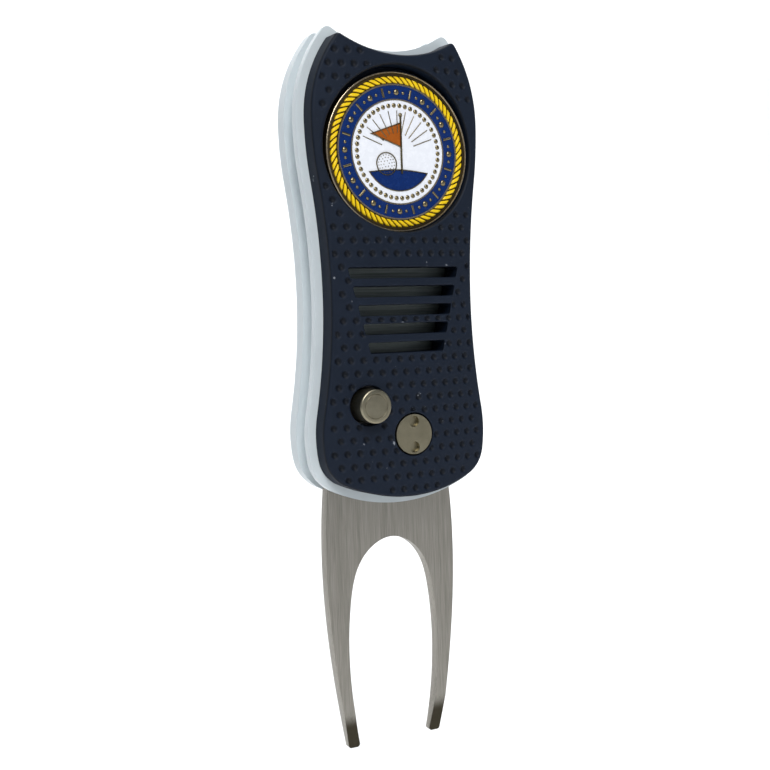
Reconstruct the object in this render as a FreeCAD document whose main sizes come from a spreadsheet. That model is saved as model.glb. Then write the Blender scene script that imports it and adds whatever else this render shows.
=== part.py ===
"""Spring-opening divot repair tool with a magnetic ball marker, in millimetres.

Frame: the origin lies midway between the two prong tips, halfway through the fork's thickness.
+Z runs from the tips up to the handle's dished top, and the domed front faces -Y.
"""
import FreeCAD
import Part
import math
import os
import Sketcher

V = FreeCAD.Vector

# Driving sizes. Each is written once; everything that fits to it is worked out from it.
SIZES = {
    # The open fork's reach below the handle, and what the handle's height has beyond twice that:
    # the fork folds up inside, so a longer fork needs a longer handle.
    "base_z": 41.75, "fold_room": 28.0,
    # handle outline: half widths, rises above the base and drops below the dished top
    "waist_half": 12.7, "waist_rise": 32.15,
    "peak_half": 14.85, "peak_drop": 10.1,
    "hip_half": 14.72, "hip_rise": 10.15,
    "shoulder_r": 20.8, "flank_r": 60.0, "hip_r": 20.0,
    "corner_r": 5.5, "base_r": 26.0,
    "dish_r": 18.95, "horn_r": 0.8, "horn_ease": 0.25,
    # layers through the thickness
    "cover_thick": 4.3, "dome_r": 73.0, "ledge": 1.3,
    "rim_thick": 1.5, "cove_thick": 1.1, "cove_depth": 1.5,
    "rear_thick": 3.6, "rear_edge_r": 1.4, "layer_gap": 0.1, "spine_end_rise": 4.15,
    # fork
    "fork_thick": 2.0, "fork_x": -0.6, "fork_neck_half": 11.0, "fork_wide_half": 11.8,
    "fork_tip_half": 8.6, "arch_drop": 7.35, "gap_wide_half": 8.3, "gap_tip_half": 6.6,
    "tang_r": 10.6, "tip_bevel_len": 6.0, "tip_bevel_depth": 0.8, "tip_round_r": 0.5,
    # pivot
    "pivot_x": 0.55, "pivot_rise": 10.05, "barrel_r": 2.0, "pivot_head_r": 3.2,
    "pivot_head_thick": 1.4, "pivot_flush": 0.05, "barrel_tail": 0.1, "rear_head_thick": 1.1,
    "pivot_screw_r": 1.15, "spanner_hole_r": 0.9, "spanner_hole_offset": 2.05,
    "spanner_hole_depth": 0.8, "head_gap": 0.25, "washer_r": 3.1, "washer_thick": 0.55,
    # lock button
    "lock_reach": 9.14, "lock_angle": 146.8, "button_r": 2.7, "button_proud": 2.0,
    "button_skirt": 2.7, "button_hole_gap": 0.45, "button_travel": 1.6, "collar_wall": 0.9,
    "collar_len": 2.3, "stem_r": 1.0, "shoulder_lock_r": 2.1, "shoulder_thick": 1.5,
    "clip_thick": 0.4, "clip_r": 1.9, "frame_floor": 1.1,
    # springs
    "coil_wire_r": 0.25, "coil_r": 1.75, "coil_turns": 2.5,
    "torsion_wire_r": 0.3, "torsion_r": 4.0, "torsion_turns": 2.5, "torsion_wall": 0.55,
    # ball marker and its seat
    "marker_drop": 15.0, "marker_r": 12.55, "marker_thick": 1.8, "marker_seat_gap": 0.45,
    "marker_seat_depth": 3.3, "recess_rise": 0.4, "recess_round": 0.5,
    "marker_rim": 0.65, "marker_border": 1.35, "marker_line": 0.15, "marker_ring": 2.15,
    "enamel_depth": 0.4, "enamel_low": 0.05,
    "cup_r": 6.0, "cup_wall": 0.5, "cup_len": 2.6, "cup_proud": 0.05,
    # grille
    "slot_top_drop": 33.15, "slot_pitch": 2.94, "slot_tall": 1.7, "slot_top_half": 9.9,
    "slot_taper": 0.25, "plate_thick": 0.6, "plate_margin": 1.1, "plate_sink": 0.2,
    # body screws
    "screw_r": 0.78, "screw_head_r": 1.5, "screw_head_thick": 0.8, "screw_sink": 0.1,
    "insert_r": 1.4, "insert_len": 2.2,
    # clearances
    "run_fit": 0.05, "seat_fit": 0.1, "swing_gap": 0.6, "spine_gap": 0.35,
}
SLOTS = 5
# Each body screw's place, from the half width and the height that it keeps to.
SCREW_SPOTS = {"top_left": ("5.35 - peak_half", "dish_z - 3.4"),
               "top_right": ("peak_half - 5.35", "dish_z - 3.4"),
               "side": ("2.45 - peak_half", "dish_z - 14.6"),
               "hip": ("2.02 - hip_half", "base_z + 11.35")}
NAMES = {}

doc = FreeCAD.newDocument("divot_tool")
sheet = doc.addObject("Spreadsheet::Sheet", "Sizes")
for row, (name, value) in enumerate(SIZES.items(), start=1):
    sheet.set("A%d" % row, name)
    sheet.set("B%d" % row, str(value))
    sheet.setAlias("B%d" % row, name)

# Places that follow from the sizes above, as formulas in the same sheet.
DERIVED = {
    "dish_z": "2 * base_z + fold_room",
    "waist_z": "base_z + waist_rise",
    "peak_z": "dish_z - peak_drop",
    "hip_z": "base_z + hip_rise",
    "spine_end_z": "base_z + spine_end_rise",
    "arch_z": "base_z - arch_drop",
    "pivot_z": "base_z + pivot_rise",
    "marker_z": "dish_z - marker_drop",
    "slot_top_z": "dish_z - slot_top_drop",
    "button_hole_r": "button_r + button_hole_gap",
    "collar_r": "button_r + collar_wall",
    "fork_front": "-fork_thick / 2",
    "fork_back": "fork_thick / 2",
    "frame_back": "fork_front - layer_gap",
    "rim_back": "frame_back - cove_thick",
    "frame_front": "rim_back - rim_thick",
    "cover_front": "frame_front - cover_thick",
    "rear_front": "fork_back + layer_gap",
    "rear_back": "rear_front + rear_thick",
    "button_x": "pivot_x + lock_reach * cos(lock_angle * 1 deg)",
    "button_z": "pivot_z + lock_reach * sin(lock_angle * 1 deg)",
    "button_front": "cover_front - button_proud",
    "button_back": "cover_front + button_skirt",
    "track_r": "lock_reach - shoulder_lock_r - seat_fit",
    "marker_floor": "cover_front + marker_seat_depth",
    "cup_front": "marker_floor - cup_proud",
    "marker_front": "cup_front - marker_thick",
    "plate_front": "frame_front + plate_sink",
    "channel_left": "fork_x - fork_wide_half + 2 * (pivot_x - fork_x) - spine_gap",
    "pivot_head_front": "cover_front + pivot_flush",
    "pivot_seat": "pivot_head_front + pivot_head_thick",
    "rear_head_front": "rear_back - barrel_tail - rear_head_thick",
    "washer_recess": "washer_thick + layer_gap / 2 - layer_gap",
    "torsion_floor": "frame_back - frame_floor",
}
for row, (name, formula) in enumerate(DERIVED.items(), start=len(SIZES) + 2):
    sheet.set("A%d" % row, name)
    sheet.set("B%d" % row, "=" + formula)
    sheet.setAlias("B%d" % row, name)
doc.recompute()


def size(name):
    """The present value of a named size."""
    value = getattr(sheet, name)
    return float(getattr(value, "Value", value))


def linked(formula):
    """A formula on sheet names, written the way an expression outside the sheet needs it."""
    out = []
    word = ""
    for sign in formula + " ":
        if sign.isalnum() or sign == "_":
            word += sign
            continue
        known = word in SIZES or word in DERIVED
        out.append("Sizes." + word if known else word)
        out.append(sign)
        word = ""
    return "".join(out).strip()


def bind(thing, **formulas):
    """Tie an object's properties to the sheet; a double underscore stands for a dot."""
    for key, formula in formulas.items():
        thing.setExpression(key.replace("__", "."), linked(str(formula)))


def keep(thing, label):
    """Name an object as a finished sub-part."""
    thing.Label = label
    NAMES[label] = thing
    return thing


# ---------------------------------------------------------------- sketches and bodies
def origin_plane(body, role):
    return [item for item in body.Origin.OriginFeatures if item.Role == role][0]


def new_body(label):
    return keep(doc.addObject("PartDesign::Body", label), label)


def sketch_on(body, name, depth, role="XZ_Plane"):
    """A sketch facing -Y, on the plane y = depth (a formula)."""
    sketch = body.newObject("Sketcher::SketchObject", name)
    sketch.AttachmentSupport = [(origin_plane(body, role), "")]
    sketch.MapMode = "FlatFace"
    if role == "XZ_Plane":
        bind(sketch, AttachmentOffset__Base__z="-(" + depth + ")")
    return sketch


def add_circle(sketch, x, z, radius):
    """A circle whose centre and radius stay tied to the sheet."""
    turn = sketch.addGeometry(Part.Circle(V(1, 1, 0), V(0, 0, 1), 1), False)
    for kind, formula in (("Radius", radius), ("DistanceX", x), ("DistanceY", z)):
        if kind == "Radius":
            number = sketch.addConstraint(Sketcher.Constraint(kind, turn, 1))
        else:
            number = sketch.addConstraint(Sketcher.Constraint(kind, -1, 1, turn, 3, 1))
        sketch.setExpression("Constraints[%d]" % number, linked(formula))
    return turn


def pad(body, sketch, length):
    feature = body.newObject("PartDesign::Pad", sketch.Name + "_pad")
    feature.Profile = sketch
    bind(feature, Length=length)
    body.Tip = feature
    return feature


def pocket(body, sketch, length, forward=False):
    """Cut from the sketch towards +Y, or towards -Y when forward is set."""
    doc.recompute()
    before = body.Shape.Volume
    feature = body.newObject("PartDesign::Pocket", sketch.Name + "_pocket")
    feature.Profile = sketch
    bind(feature, Length=length)
    feature.Reversed = forward
    body.Tip = feature
    doc.recompute()
    if body.Shape.Volume >= before - 1e-4:
        raise RuntimeError(sketch.Name + " cut nothing")
    return feature


def drill(body, name, x, z, radius, depth, length, forward=False):
    """A round pocket."""
    sketch = sketch_on(body, name, depth)
    add_circle(sketch, x, z, radius)
    return pocket(body, sketch, length, forward)


def turned(label, x, z, steps):
    """A stepped round piece along Y: steps are (radius, start, end) formulas, fused end to end."""
    rings = []
    for number, (radius, start, end) in enumerate(steps):
        ring = doc.addObject("Part::Cylinder", "%s_step%d" % (label, number))
        ring.Placement = FreeCAD.Placement(V(0, 0, 0), FreeCAD.Rotation(V(1, 0, 0), -90))
        bind(ring, Radius=radius, Height="(%s) - (%s)" % (end, start),
             Placement__Base__x=x, Placement__Base__y=start, Placement__Base__z=z)
        rings.append(ring)
    if len(rings) == 1:
        return rings[0]
    whole = doc.addObject("Part::MultiFuse", label + "_turned")
    whole.Shapes = rings
    return whole


def cut(label, base, tool):
    result = doc.addObject("Part::Cut", label)
    result.Base = base
    result.Tool = tool
    return result


# ---------------------------------------------------------------- the handle's outline
def tangent_centre(first, reach_a, second, reach_b, upper):
    """Where two circles cross: the centre of an arc that touches two others."""
    gap = second - first
    span = gap.Length
    along = (reach_a ** 2 - reach_b ** 2 + span ** 2) / (2 * span)
    aside = math.sqrt(reach_a ** 2 - along ** 2)
    unit = gap / span
    normal = V(-unit.y, unit.x, 0)
    spots = [first + unit * along + normal * side * aside for side in (1, -1)]
    spots = [spot for spot in spots if spot.x > 0]
    return max(spots, key=lambda spot: spot.y if upper else -spot.y)


def outline_arcs(grow):
    """Half of the handle's outline as tangent arcs, top centre to bottom centre.

    Each arc is (centre, radius, first direction, last direction). A convex arc's radius gains
    grow and a hollow arc's loses it, which moves the whole outline outwards by grow. The horns
    beside the dish gain less, so that they stay pointed.
    """
    dish = V(0, size("dish_z") + size("dish_r"), 0)
    shoulder = V(size("peak_half") - size("shoulder_r"), size("peak_z"), 0)
    flank = V(size("peak_half") - size("flank_r"), size("peak_z"), 0)
    hip = V(size("hip_half") - size("hip_r"), size("hip_z"), 0)
    base = V(0, size("base_z") + size("base_r"), 0)
    horn_r = size("horn_r") + size("horn_ease") * grow
    horn = tangent_centre(dish, size("dish_r") - grow + horn_r,
                          shoulder, size("shoulder_r") + grow - horn_r, True)
    corner = tangent_centre(hip, size("hip_r") - size("corner_r"),
                            base, size("base_r") - size("corner_r"), False)

    def waist_centre(side_half, side_z, side_r):
        """A hollow arc, upright at the waist, that meets the bulge above or below it."""
        inward = side_half - size("waist_half")
        rise = side_z - size("waist_z")
        total = (inward ** 2 + rise ** 2) / (2 * inward)
        return V(size("waist_half") + total - side_r, size("waist_z"), 0), total - side_r

    upper, upper_r = waist_centre(size("peak_half"), size("peak_z"), size("flank_r"))
    lower, lower_r = waist_centre(size("hip_half"), size("hip_z"), size("hip_r"))

    def way(start, end):
        return (end - start).normalize()

    return [
        (dish, size("dish_r") - grow, V(0, -1, 0), way(dish, horn)),
        (horn, horn_r, way(horn, dish), way(shoulder, horn)),
        (shoulder, size("shoulder_r") + grow, way(shoulder, horn), V(1, 0, 0)),
        (flank, size("flank_r") + grow, V(1, 0, 0), way(flank, upper)),
        (upper, upper_r - grow, way(upper, flank), V(-1, 0, 0)),
        (lower, lower_r - grow, V(-1, 0, 0), way(lower, hip)),
        (hip, size("hip_r") + grow, way(hip, lower), way(hip, corner)),
        (corner, size("corner_r") + grow, way(hip, corner), way(base, corner)),
        (base, size("base_r") + grow, way(base, corner), V(0, -1, 0)),
    ]


def outline_edges(grow):
    """The whole closed outline as arcs in the sketch plane."""
    edges = []
    for side in (1, -1):
        for centre, radius, first, last in outline_arcs(grow):
            middle = (first + last).normalize()
            spots = [centre + direction * radius for direction in (first, middle, last)]
            edges.append(Part.Arc(*[V(side * spot.x, spot.y, 0) for spot in spots]))
    return edges


def outline_plate(body, name, grow, back, thick):
    """A plate of the handle's outline, from y = back forwards by thick."""
    sketch = sketch_on(body, name, back)
    sketch.addGeometry(outline_edges(grow), False)
    return pad(body, sketch, thick)


def slot_half(z):
    """Half width of the tapering grille at a height."""
    return size("slot_top_half") - size("slot_taper") * (size("slot_top_z") - z)


def add_polygon(sketch, spots):
    ends = [V(x, z, 0) for x, z in spots]
    for start, end in zip(ends, ends[1:] + ends[:1]):
        sketch.addGeometry(Part.LineSegment(start, end), False)


def add_trapezoid(sketch, top, bottom, margin=0.0):
    """A piece of the grille's taper between two heights."""
    high = slot_half(top) + margin
    low = slot_half(bottom) + margin
    add_polygon(sketch, [(-high, top), (high, top), (low, bottom), (-low, bottom)])


# ---------------------------------------------------------------- handle
def make_front_cover():
    body = new_body("front_cover")
    outline_plate(body, "cover_outline", 0.0, "frame_front", "cover_thick")
    reach = 4 * size("cover_thick")
    wide = 2 * size("peak_half")
    drop = size("dome_r") - math.sqrt(size("dome_r") ** 2 - wide ** 2)
    crown = size("cover_front")
    dome = sketch_on(body, "dome", "0", "XY_Plane")
    dome.addGeometry(Part.Arc(V(-wide, crown + drop, 0), V(0, crown, 0), V(wide, crown + drop, 0)))
    for start, end in (((wide, crown + drop), (wide, crown - reach)),
                       ((wide, crown - reach), (-wide, crown - reach)),
                       ((-wide, crown - reach), (-wide, crown + drop))):
        dome.addGeometry(Part.LineSegment(V(*start, 0), V(*end, 0)))
    pocket(body, dome, "2 * dish_z", forward=True)
    drill(body, "marker_recess", "0", "marker_z + recess_rise", "marker_r + marker_seat_gap",
          "cover_front - 1", "marker_seat_depth + 1")
    around = 2 * (size("marker_r") + size("marker_seat_gap"))
    round_edges(body, "recess_edge", "recess_round", lambda box: box.YLength > 0.1
                and abs(box.XLength - around) < 0.3 and abs(box.ZLength - around) < 0.3)
    drill(body, "magnet_hole", "0", "marker_z", "cup_r + seat_fit", "cover_front", "cover_thick")
    slots = sketch_on(body, "grille_slots", "cover_front - 1")
    for number in range(SLOTS):
        top = size("slot_top_z") - number * size("slot_pitch")
        add_trapezoid(slots, top, top - size("slot_tall"))
    pocket(body, slots, "cover_thick + 1")
    drill(body, "button_hole", "button_x", "button_z", "button_hole_r",
          "cover_front - 1", "cover_thick + 1")
    drill(body, "collar_seat", "button_x", "button_z", "collar_r + run_fit",
          "frame_front", "collar_len", forward=True)
    drill(body, "barrel_hole", "pivot_x", "pivot_z", "barrel_r + run_fit",
          "cover_front - 1", "cover_thick + 1")
    drill(body, "head_seat", "pivot_x", "pivot_z", "pivot_head_r + head_gap",
          "cover_front - 1", "pivot_seat - cover_front + 1")


def make_front_frame():
    body = new_body("front_frame")
    outline_plate(body, "frame_rim", size("ledge"), "rim_back", "rim_thick")
    outline_plate(body, "frame_inner", size("ledge") - size("cove_depth"), "frame_back",
                  "cove_thick")
    seat = sketch_on(body, "plate_seat", "frame_front")
    bottom = size("slot_top_z") - (SLOTS - 1) * size("slot_pitch") - size("slot_tall")
    margin = size("plate_margin") + size("seat_fit")
    add_trapezoid(seat, size("slot_top_z") + margin, bottom - margin, margin)
    pocket(body, seat, "plate_sink + plate_thick")
    drill(body, "magnet_seat", "0", "marker_z", "cup_r + seat_fit",
          "frame_front", "cup_front + cup_len - frame_front")
    drill(body, "coil_bore", "button_x", "button_z", "button_r", "frame_front",
          "torsion_floor - frame_front")
    drill(body, "stem_hole", "button_x", "button_z", "stem_r + seat_fit",
          "frame_front", "frame_back - frame_front")
    drill(body, "frame_barrel_hole", "pivot_x", "pivot_z", "barrel_r + run_fit",
          "frame_front", "frame_back - frame_front")
    drill(body, "front_washer_seat", "pivot_x", "pivot_z", "washer_r + run_fit",
          "frame_back", "washer_recess", forward=True)
    make_torsion_cavity(body)
    for name, (x, z) in SCREW_SPOTS.items():
        drill(body, "insert_hole_" + name, x, z, "insert_r", "frame_back",
              "insert_len", forward=True)


def make_torsion_cavity(body):
    """A ring round the barrel for the fork's spring, and a hole for its fixed leg."""
    ring = sketch_on(body, "torsion_ring", "frame_back")
    add_circle(ring, "pivot_x", "pivot_z", "torsion_r + torsion_wire_r + torsion_wall")
    add_circle(ring, "pivot_x", "pivot_z", "torsion_r - torsion_wire_r - torsion_wall")
    pocket(body, ring, "frame_back - frame_front - torsion_wall", forward=True)
    drill(body, "leg_hole", "pivot_x", "pivot_z + torsion_r", "torsion_wire_r + seat_fit",
          "frame_back", "frame_back - frame_front", forward=True)


def make_rear_shell():
    body = new_body("rear_shell")
    outline_plate(body, "spine_outline", size("ledge") - size("cove_depth"), "rear_front",
                  "rear_front - frame_back")
    channel = sketch_on(body, "fork_channel", "frame_back")
    far = 2 * size("peak_half")
    top = size("pivot_z") + fork_reach() + size("swing_gap")
    left = size("channel_left")
    low_left = size("fork_x") - size("fork_neck_half") - size("spine_gap")
    neck = size("pivot_z")
    round_r = 2 * size("fork_thick")
    corner = [V(left, top - round_r, 0), V(left + round_r * (1 - math.sqrt(0.5)),
              top - round_r * (1 - math.sqrt(0.5)), 0), V(left + round_r, top, 0)]
    channel.addGeometry(Part.Arc(*corner))
    path = [(left + round_r, top), (far, top), (far, 0), (-far, 0), (-far, size("spine_end_z")),
            (low_left, size("spine_end_z")), (low_left, neck), (left, neck),
            (left, top - round_r)]
    for start, end in zip(path, path[1:]):
        channel.addGeometry(Part.LineSegment(V(*start, 0), V(*end, 0)))
    pocket(body, channel, "rear_front - frame_back")
    outline_plate(body, "rear_outline", size("ledge"), "rear_back", "rear_thick")
    back = size("rear_back")
    round_edges(body, "rear_edge", "rear_edge_r",
                lambda box: box.YLength < 1e-4 and abs(box.YMin - back) < 1e-4)
    drill(body, "rear_barrel_hole", "pivot_x", "pivot_z", "barrel_r + run_fit",
          "rear_front", "rear_thick")
    drill(body, "rear_head_seat", "pivot_x", "pivot_z", "pivot_head_r + run_fit",
          "rear_back", "rear_back - rear_head_front", forward=True)
    drill(body, "rear_washer_seat", "pivot_x", "pivot_z", "washer_r + run_fit",
          "rear_front", "washer_recess")
    drill(body, "shoulder_pocket", "button_x", "button_z", "shoulder_lock_r + seat_fit",
          "rear_front", "button_travel")
    for name, (x, z) in SCREW_SPOTS.items():
        drill(body, "screw_hole_" + name, x, z, "screw_r + run_fit",
              "frame_back", "rear_back - frame_back")
        drill(body, "screw_head_seat_" + name, x, z, "screw_head_r + seat_fit",
              "rear_back", "screw_head_thick + screw_sink", forward=True)


def round_edges(body, name, radius, wanted):
    """Fillet every edge of the body whose bounding box passes a test."""
    doc.recompute()
    base = body.Tip
    edges = []
    for number, edge in enumerate(base.Shape.Edges, start=1):
        if wanted(edge.BoundBox):
            edges.append("Edge%d" % number)
    feature = body.newObject("PartDesign::Fillet", name)
    feature.Base = (base, edges)
    bind(feature, Radius=radius)
    body.Tip = feature


# ---------------------------------------------------------------- fork
def fork_reach():
    """Distance from the pivot to the outer corner of a prong tip."""
    aside = size("pivot_x") - size("fork_x") + size("fork_tip_half")
    return math.hypot(aside, size("pivot_z"))


def prong_edge(sketch, spots, side):
    """A smooth edge through a few points, on one side of the fork's centre line."""
    curve = Part.BSplineCurve()
    curve.interpolate([V(size("fork_x") + side * x, z, 0) for x, z in spots])
    sketch.addGeometry(curve, False)


def make_fork():
    """The flat two-pronged blade, its tang and the cam that the lock button works on."""
    body = new_body("fork")
    sketch = sketch_on(body, "fork_outline", "fork_back")
    neck_z = size("base_z") + 3.0
    tip = size("fork_tip_half")
    inner_tip = size("gap_tip_half")
    corner = size("tip_round_r")
    arch = size("arch_z")
    outer = [(size("fork_neck_half"), neck_z), (size("fork_wide_half"), 0.9 * arch),
             (0.5 * (size("fork_wide_half") + tip) + 0.75, 0.48 * arch), (tip, corner)]
    inner = [(inner_tip, corner), (size("gap_wide_half") - 0.3, 0.27 * arch),
             (size("gap_wide_half"), 0.48 * arch), (0.93 * size("gap_wide_half"), 0.71 * arch),
             (0.62 * size("gap_wide_half"), 0.92 * arch)]
    for side in (1, -1):
        prong_edge(sketch, outer, side)
        x = size("fork_x")
        for start, end in ((tip, tip - corner), (inner_tip, inner_tip + corner)):
            knee = end + (start - end) * math.sqrt(0.5)
            sketch.addGeometry(Part.Arc(V(x + side * start, corner, 0),
                                        V(x + side * knee, corner * (1 - math.sqrt(0.5)), 0),
                                        V(x + side * end, 0, 0)), False)
        sketch.addGeometry(Part.LineSegment(V(x + side * (tip - corner), 0, 0),
                                            V(x + side * (inner_tip + corner), 0, 0)), False)
    whole = inner + [(0, arch)] + [(-x, z) for x, z in reversed(inner)]
    prong_edge(sketch, whole, 1)
    neck = size("fork_neck_half")
    left = V(size("fork_x") - neck, neck_z, 0)
    right = V(size("fork_x") + neck, neck_z, 0)
    pivot = V(size("pivot_x"), size("pivot_z"), 0)
    reach = size("tang_r")
    sketch.addGeometry(Part.LineSegment(left, pivot - V(reach, 0, 0)), False)
    sketch.addGeometry(Part.Arc(pivot - V(reach, 0, 0), pivot + V(0, reach, 0),
                                pivot + V(reach, 0, 0)), False)
    sketch.addGeometry(Part.LineSegment(pivot + V(reach, 0, 0), right), False)
    pad(body, sketch, "fork_thick")
    make_lock_track(body)
    drill(body, "fork_pivot_hole", "pivot_x", "pivot_z", "barrel_r + run_fit",
          "fork_front", "fork_thick")
    drill(body, "spring_leg_hole", "pivot_x", "pivot_z - torsion_r", "torsion_wire_r + seat_fit",
          "fork_front", "fork_thick / 2 + torsion_wire_r")
    bevel = sketch_on(body, "tip_bevel", "0", "YZ_Plane")
    front = size("fork_front")
    add_polygon(bevel, [(front - 1, -1), (front + size("tip_bevel_depth"), -1),
                        (front + size("tip_bevel_depth"), 0), (front, size("tip_bevel_len")),
                        (front - 1, size("tip_bevel_len"))])
    bevel_cut = pocket(body, bevel, "4 * fork_wide_half")
    bevel_cut.Midplane = True


def make_lock_track(body):
    """Clear the tang's edge where the button's shoulder passes, with a seat at each end."""
    track = sketch_on(body, "lock_track", "fork_front")
    pivot = V(size("pivot_x"), size("pivot_z"), 0)
    near = size("track_r")
    far = size("tang_r") + 2 * size("collar_r")
    last = math.radians(size("lock_angle"))
    first = last - math.pi

    def spot(radius, angle):
        return pivot + V(math.cos(angle), math.sin(angle), 0) * radius

    half = (first + last) / 2
    for radius in (near, far):
        track.addGeometry(Part.Arc(spot(radius, first), spot(radius, half), spot(radius, last)))
    for angle in (first, last):
        track.addGeometry(Part.LineSegment(spot(near, angle), spot(far, angle)))
    pocket(body, track, "fork_thick")
    for name, turn in (("open", 0), ("shut", 180)):
        angle = "((lock_angle - %d) * 1 deg)" % turn
        drill(body, "lock_seat_" + name, "pivot_x + lock_reach * cos" + angle,
              "pivot_z + lock_reach * sin" + angle, "shoulder_lock_r + run_fit",
              "fork_front", "fork_thick")


# ---------------------------------------------------------------- pivot
def make_pivot():
    """A barrel nut with a two-hole head in front, and the screw that closes it from behind."""
    barrel = turned("barrel", "pivot_x", "pivot_z", [
        ("pivot_head_r", "pivot_head_front", "pivot_seat"),
        ("barrel_r", "pivot_seat", "rear_head_front - barrel_tail")])
    holes = [turned("barrel_bore", "pivot_x", "pivot_z",
                    [("pivot_screw_r", "frame_front", "rear_head_front")])]
    for number, side in enumerate(("+", "-")):
        holes.append(turned("spanner_hole%d" % number, "pivot_x",
                            "pivot_z %s spanner_hole_offset" % side,
                            [("spanner_hole_r", "pivot_head_front",
                              "pivot_head_front + spanner_hole_depth")]))
    tools = doc.addObject("Part::MultiFuse", "barrel_holes")
    tools.Shapes = holes
    keep(cut("pivot_barrel", barrel, tools), "pivot_barrel")
    screw = turned("rear_screw", "pivot_x", "pivot_z", [
        ("pivot_screw_r", "frame_front + pivot_head_thick / 2", "rear_head_front"),
        ("pivot_head_r", "rear_head_front", "rear_back - barrel_tail")])
    drive = hex_socket("pivot_drive", "pivot_x", "pivot_z", "pivot_screw_r",
                       "rear_back - barrel_tail", "rear_head_thick / 2")
    keep(cut("pivot_screw", screw, drive), "pivot_screw")


def hex_socket(name, x, z, across, back, depth):
    """A six-sided key socket, cut forwards from y = back."""
    socket = doc.addObject("Part::Prism", name)
    socket.Polygon = 6
    socket.Placement = FreeCAD.Placement(V(0, 0, 0), FreeCAD.Rotation(V(1, 0, 0), 90))
    bind(socket, Circumradius=across, Height=depth, Placement__Base__x=x,
         Placement__Base__y=back, Placement__Base__z=z)
    return socket


def make_washer(label, depth):
    """A flat bearing washer whose rear face is at y = depth."""
    body = new_body(label)
    sketch = sketch_on(body, label + "_ring", depth)
    add_circle(sketch, "pivot_x", "pivot_z", "washer_r")
    add_circle(sketch, "pivot_x", "pivot_z", "barrel_r + run_fit")
    pad(body, sketch, "washer_thick")


def make_fork_spring():
    """Torsion coil round the barrel: one leg in the frame, the other in the fork."""
    wire = size("torsion_wire_r")
    turns = size("torsion_turns")
    floor = size("frame_front") + size("torsion_wall") + wire + 2 * size("run_fit")
    top = size("frame_back") - wire - size("run_fit")
    pitch = (top - floor) / turns
    spring = coil(size("torsion_r"), wire, pitch, turns)
    fixed = Part.makeCylinder(wire, floor - size("frame_front") - size("run_fit"),
                              V(size("torsion_r"), 0, 0), V(0, 0, -1))
    end = math.radians(360 * turns)
    spot = V(size("torsion_r") * math.cos(end), size("torsion_r") * math.sin(end), top - floor)
    moving = Part.makeCylinder(wire, size("fork_front") - top + size("fork_thick") / 2, spot)
    feature = doc.addObject("Part::Feature", "fork_spring")
    feature.Shape = spring.multiFuse([fixed, moving])
    upright = FreeCAD.Rotation(V(1, 0, 0), -90)
    spin = FreeCAD.Rotation(V(0, 1, 0), -90)
    feature.Placement = FreeCAD.Placement(V(size("pivot_x"), floor, size("pivot_z")),
                                          spin.multiply(upright))
    keep(feature, "fork_spring")


def coil(radius, wire, pitch, turns):
    """A round wire swept along a helix that rises in +Z from (radius, 0, 0)."""
    path = Part.Wire(Part.makeHelix(pitch, pitch * turns, radius).Edges)
    ring = Part.Wire(Part.makeCircle(wire, V(radius, 0, 0), V(0, 1, 0)))
    return path.makePipeShell([ring], True, True)


# ---------------------------------------------------------------- lock button
def make_button():
    """Cap, plunger, clip, return spring and guide collar of the lock button."""
    cap = turned("cap", "button_x", "button_z", [("button_r", "button_front", "button_back")])
    bore = turned("cap_bore", "button_x", "button_z",
                  [("stem_r", "cover_front", "button_back")])
    keep(cut("button_cap", cap, bore), "button_cap")
    shoulder_back = "rear_front - layer_gap * 2"
    shoulder_front = shoulder_back + " - shoulder_thick"
    plunger = turned("plunger", "button_x", "button_z", [
        ("stem_r", "cover_front", shoulder_front),
        ("shoulder_lock_r", shoulder_front, shoulder_back)])
    keep(plunger, "lock_plunger")
    make_plunger_clip()
    make_collar()
    make_button_spring()


def make_plunger_clip():
    body = new_body("plunger_clip")
    sketch = sketch_on(body, "clip_ring", "frame_back + layer_gap / 2 + clip_thick")
    add_circle(sketch, "button_x", "button_z", "clip_r")
    add_circle(sketch, "button_x", "button_z", "stem_r")
    pad(body, sketch, "clip_thick")
    mouth = sketch_on(body, "clip_mouth", "frame_back")
    half = size("stem_r") / 2
    x = size("button_x")
    z = size("button_z")
    reach = 2 * size("clip_r")
    add_polygon(mouth, [(x, z - half), (x + reach, z - half), (x + reach, z + half),
                        (x, z + half)])
    pocket(body, mouth, "clip_thick + layer_gap")


def make_collar():
    body = new_body("button_collar")
    sketch = sketch_on(body, "collar_ring", "frame_front")
    add_circle(sketch, "button_x", "button_z", "collar_r")
    add_circle(sketch, "button_x", "button_z", "button_r + run_fit")
    pad(body, sketch, "collar_len")


def make_button_spring():
    wire = size("coil_wire_r")
    turns = size("coil_turns")
    start = size("button_back") + wire
    end = size("torsion_floor") - wire
    feature = doc.addObject("Part::Feature", "button_spring")
    feature.Shape = coil(size("coil_r"), wire, (end - start) / turns, turns)
    feature.Placement = FreeCAD.Placement(V(size("button_x"), start, size("button_z")),
                                          FreeCAD.Rotation(V(1, 0, 0), -90))
    keep(feature, "button_spring")


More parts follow.
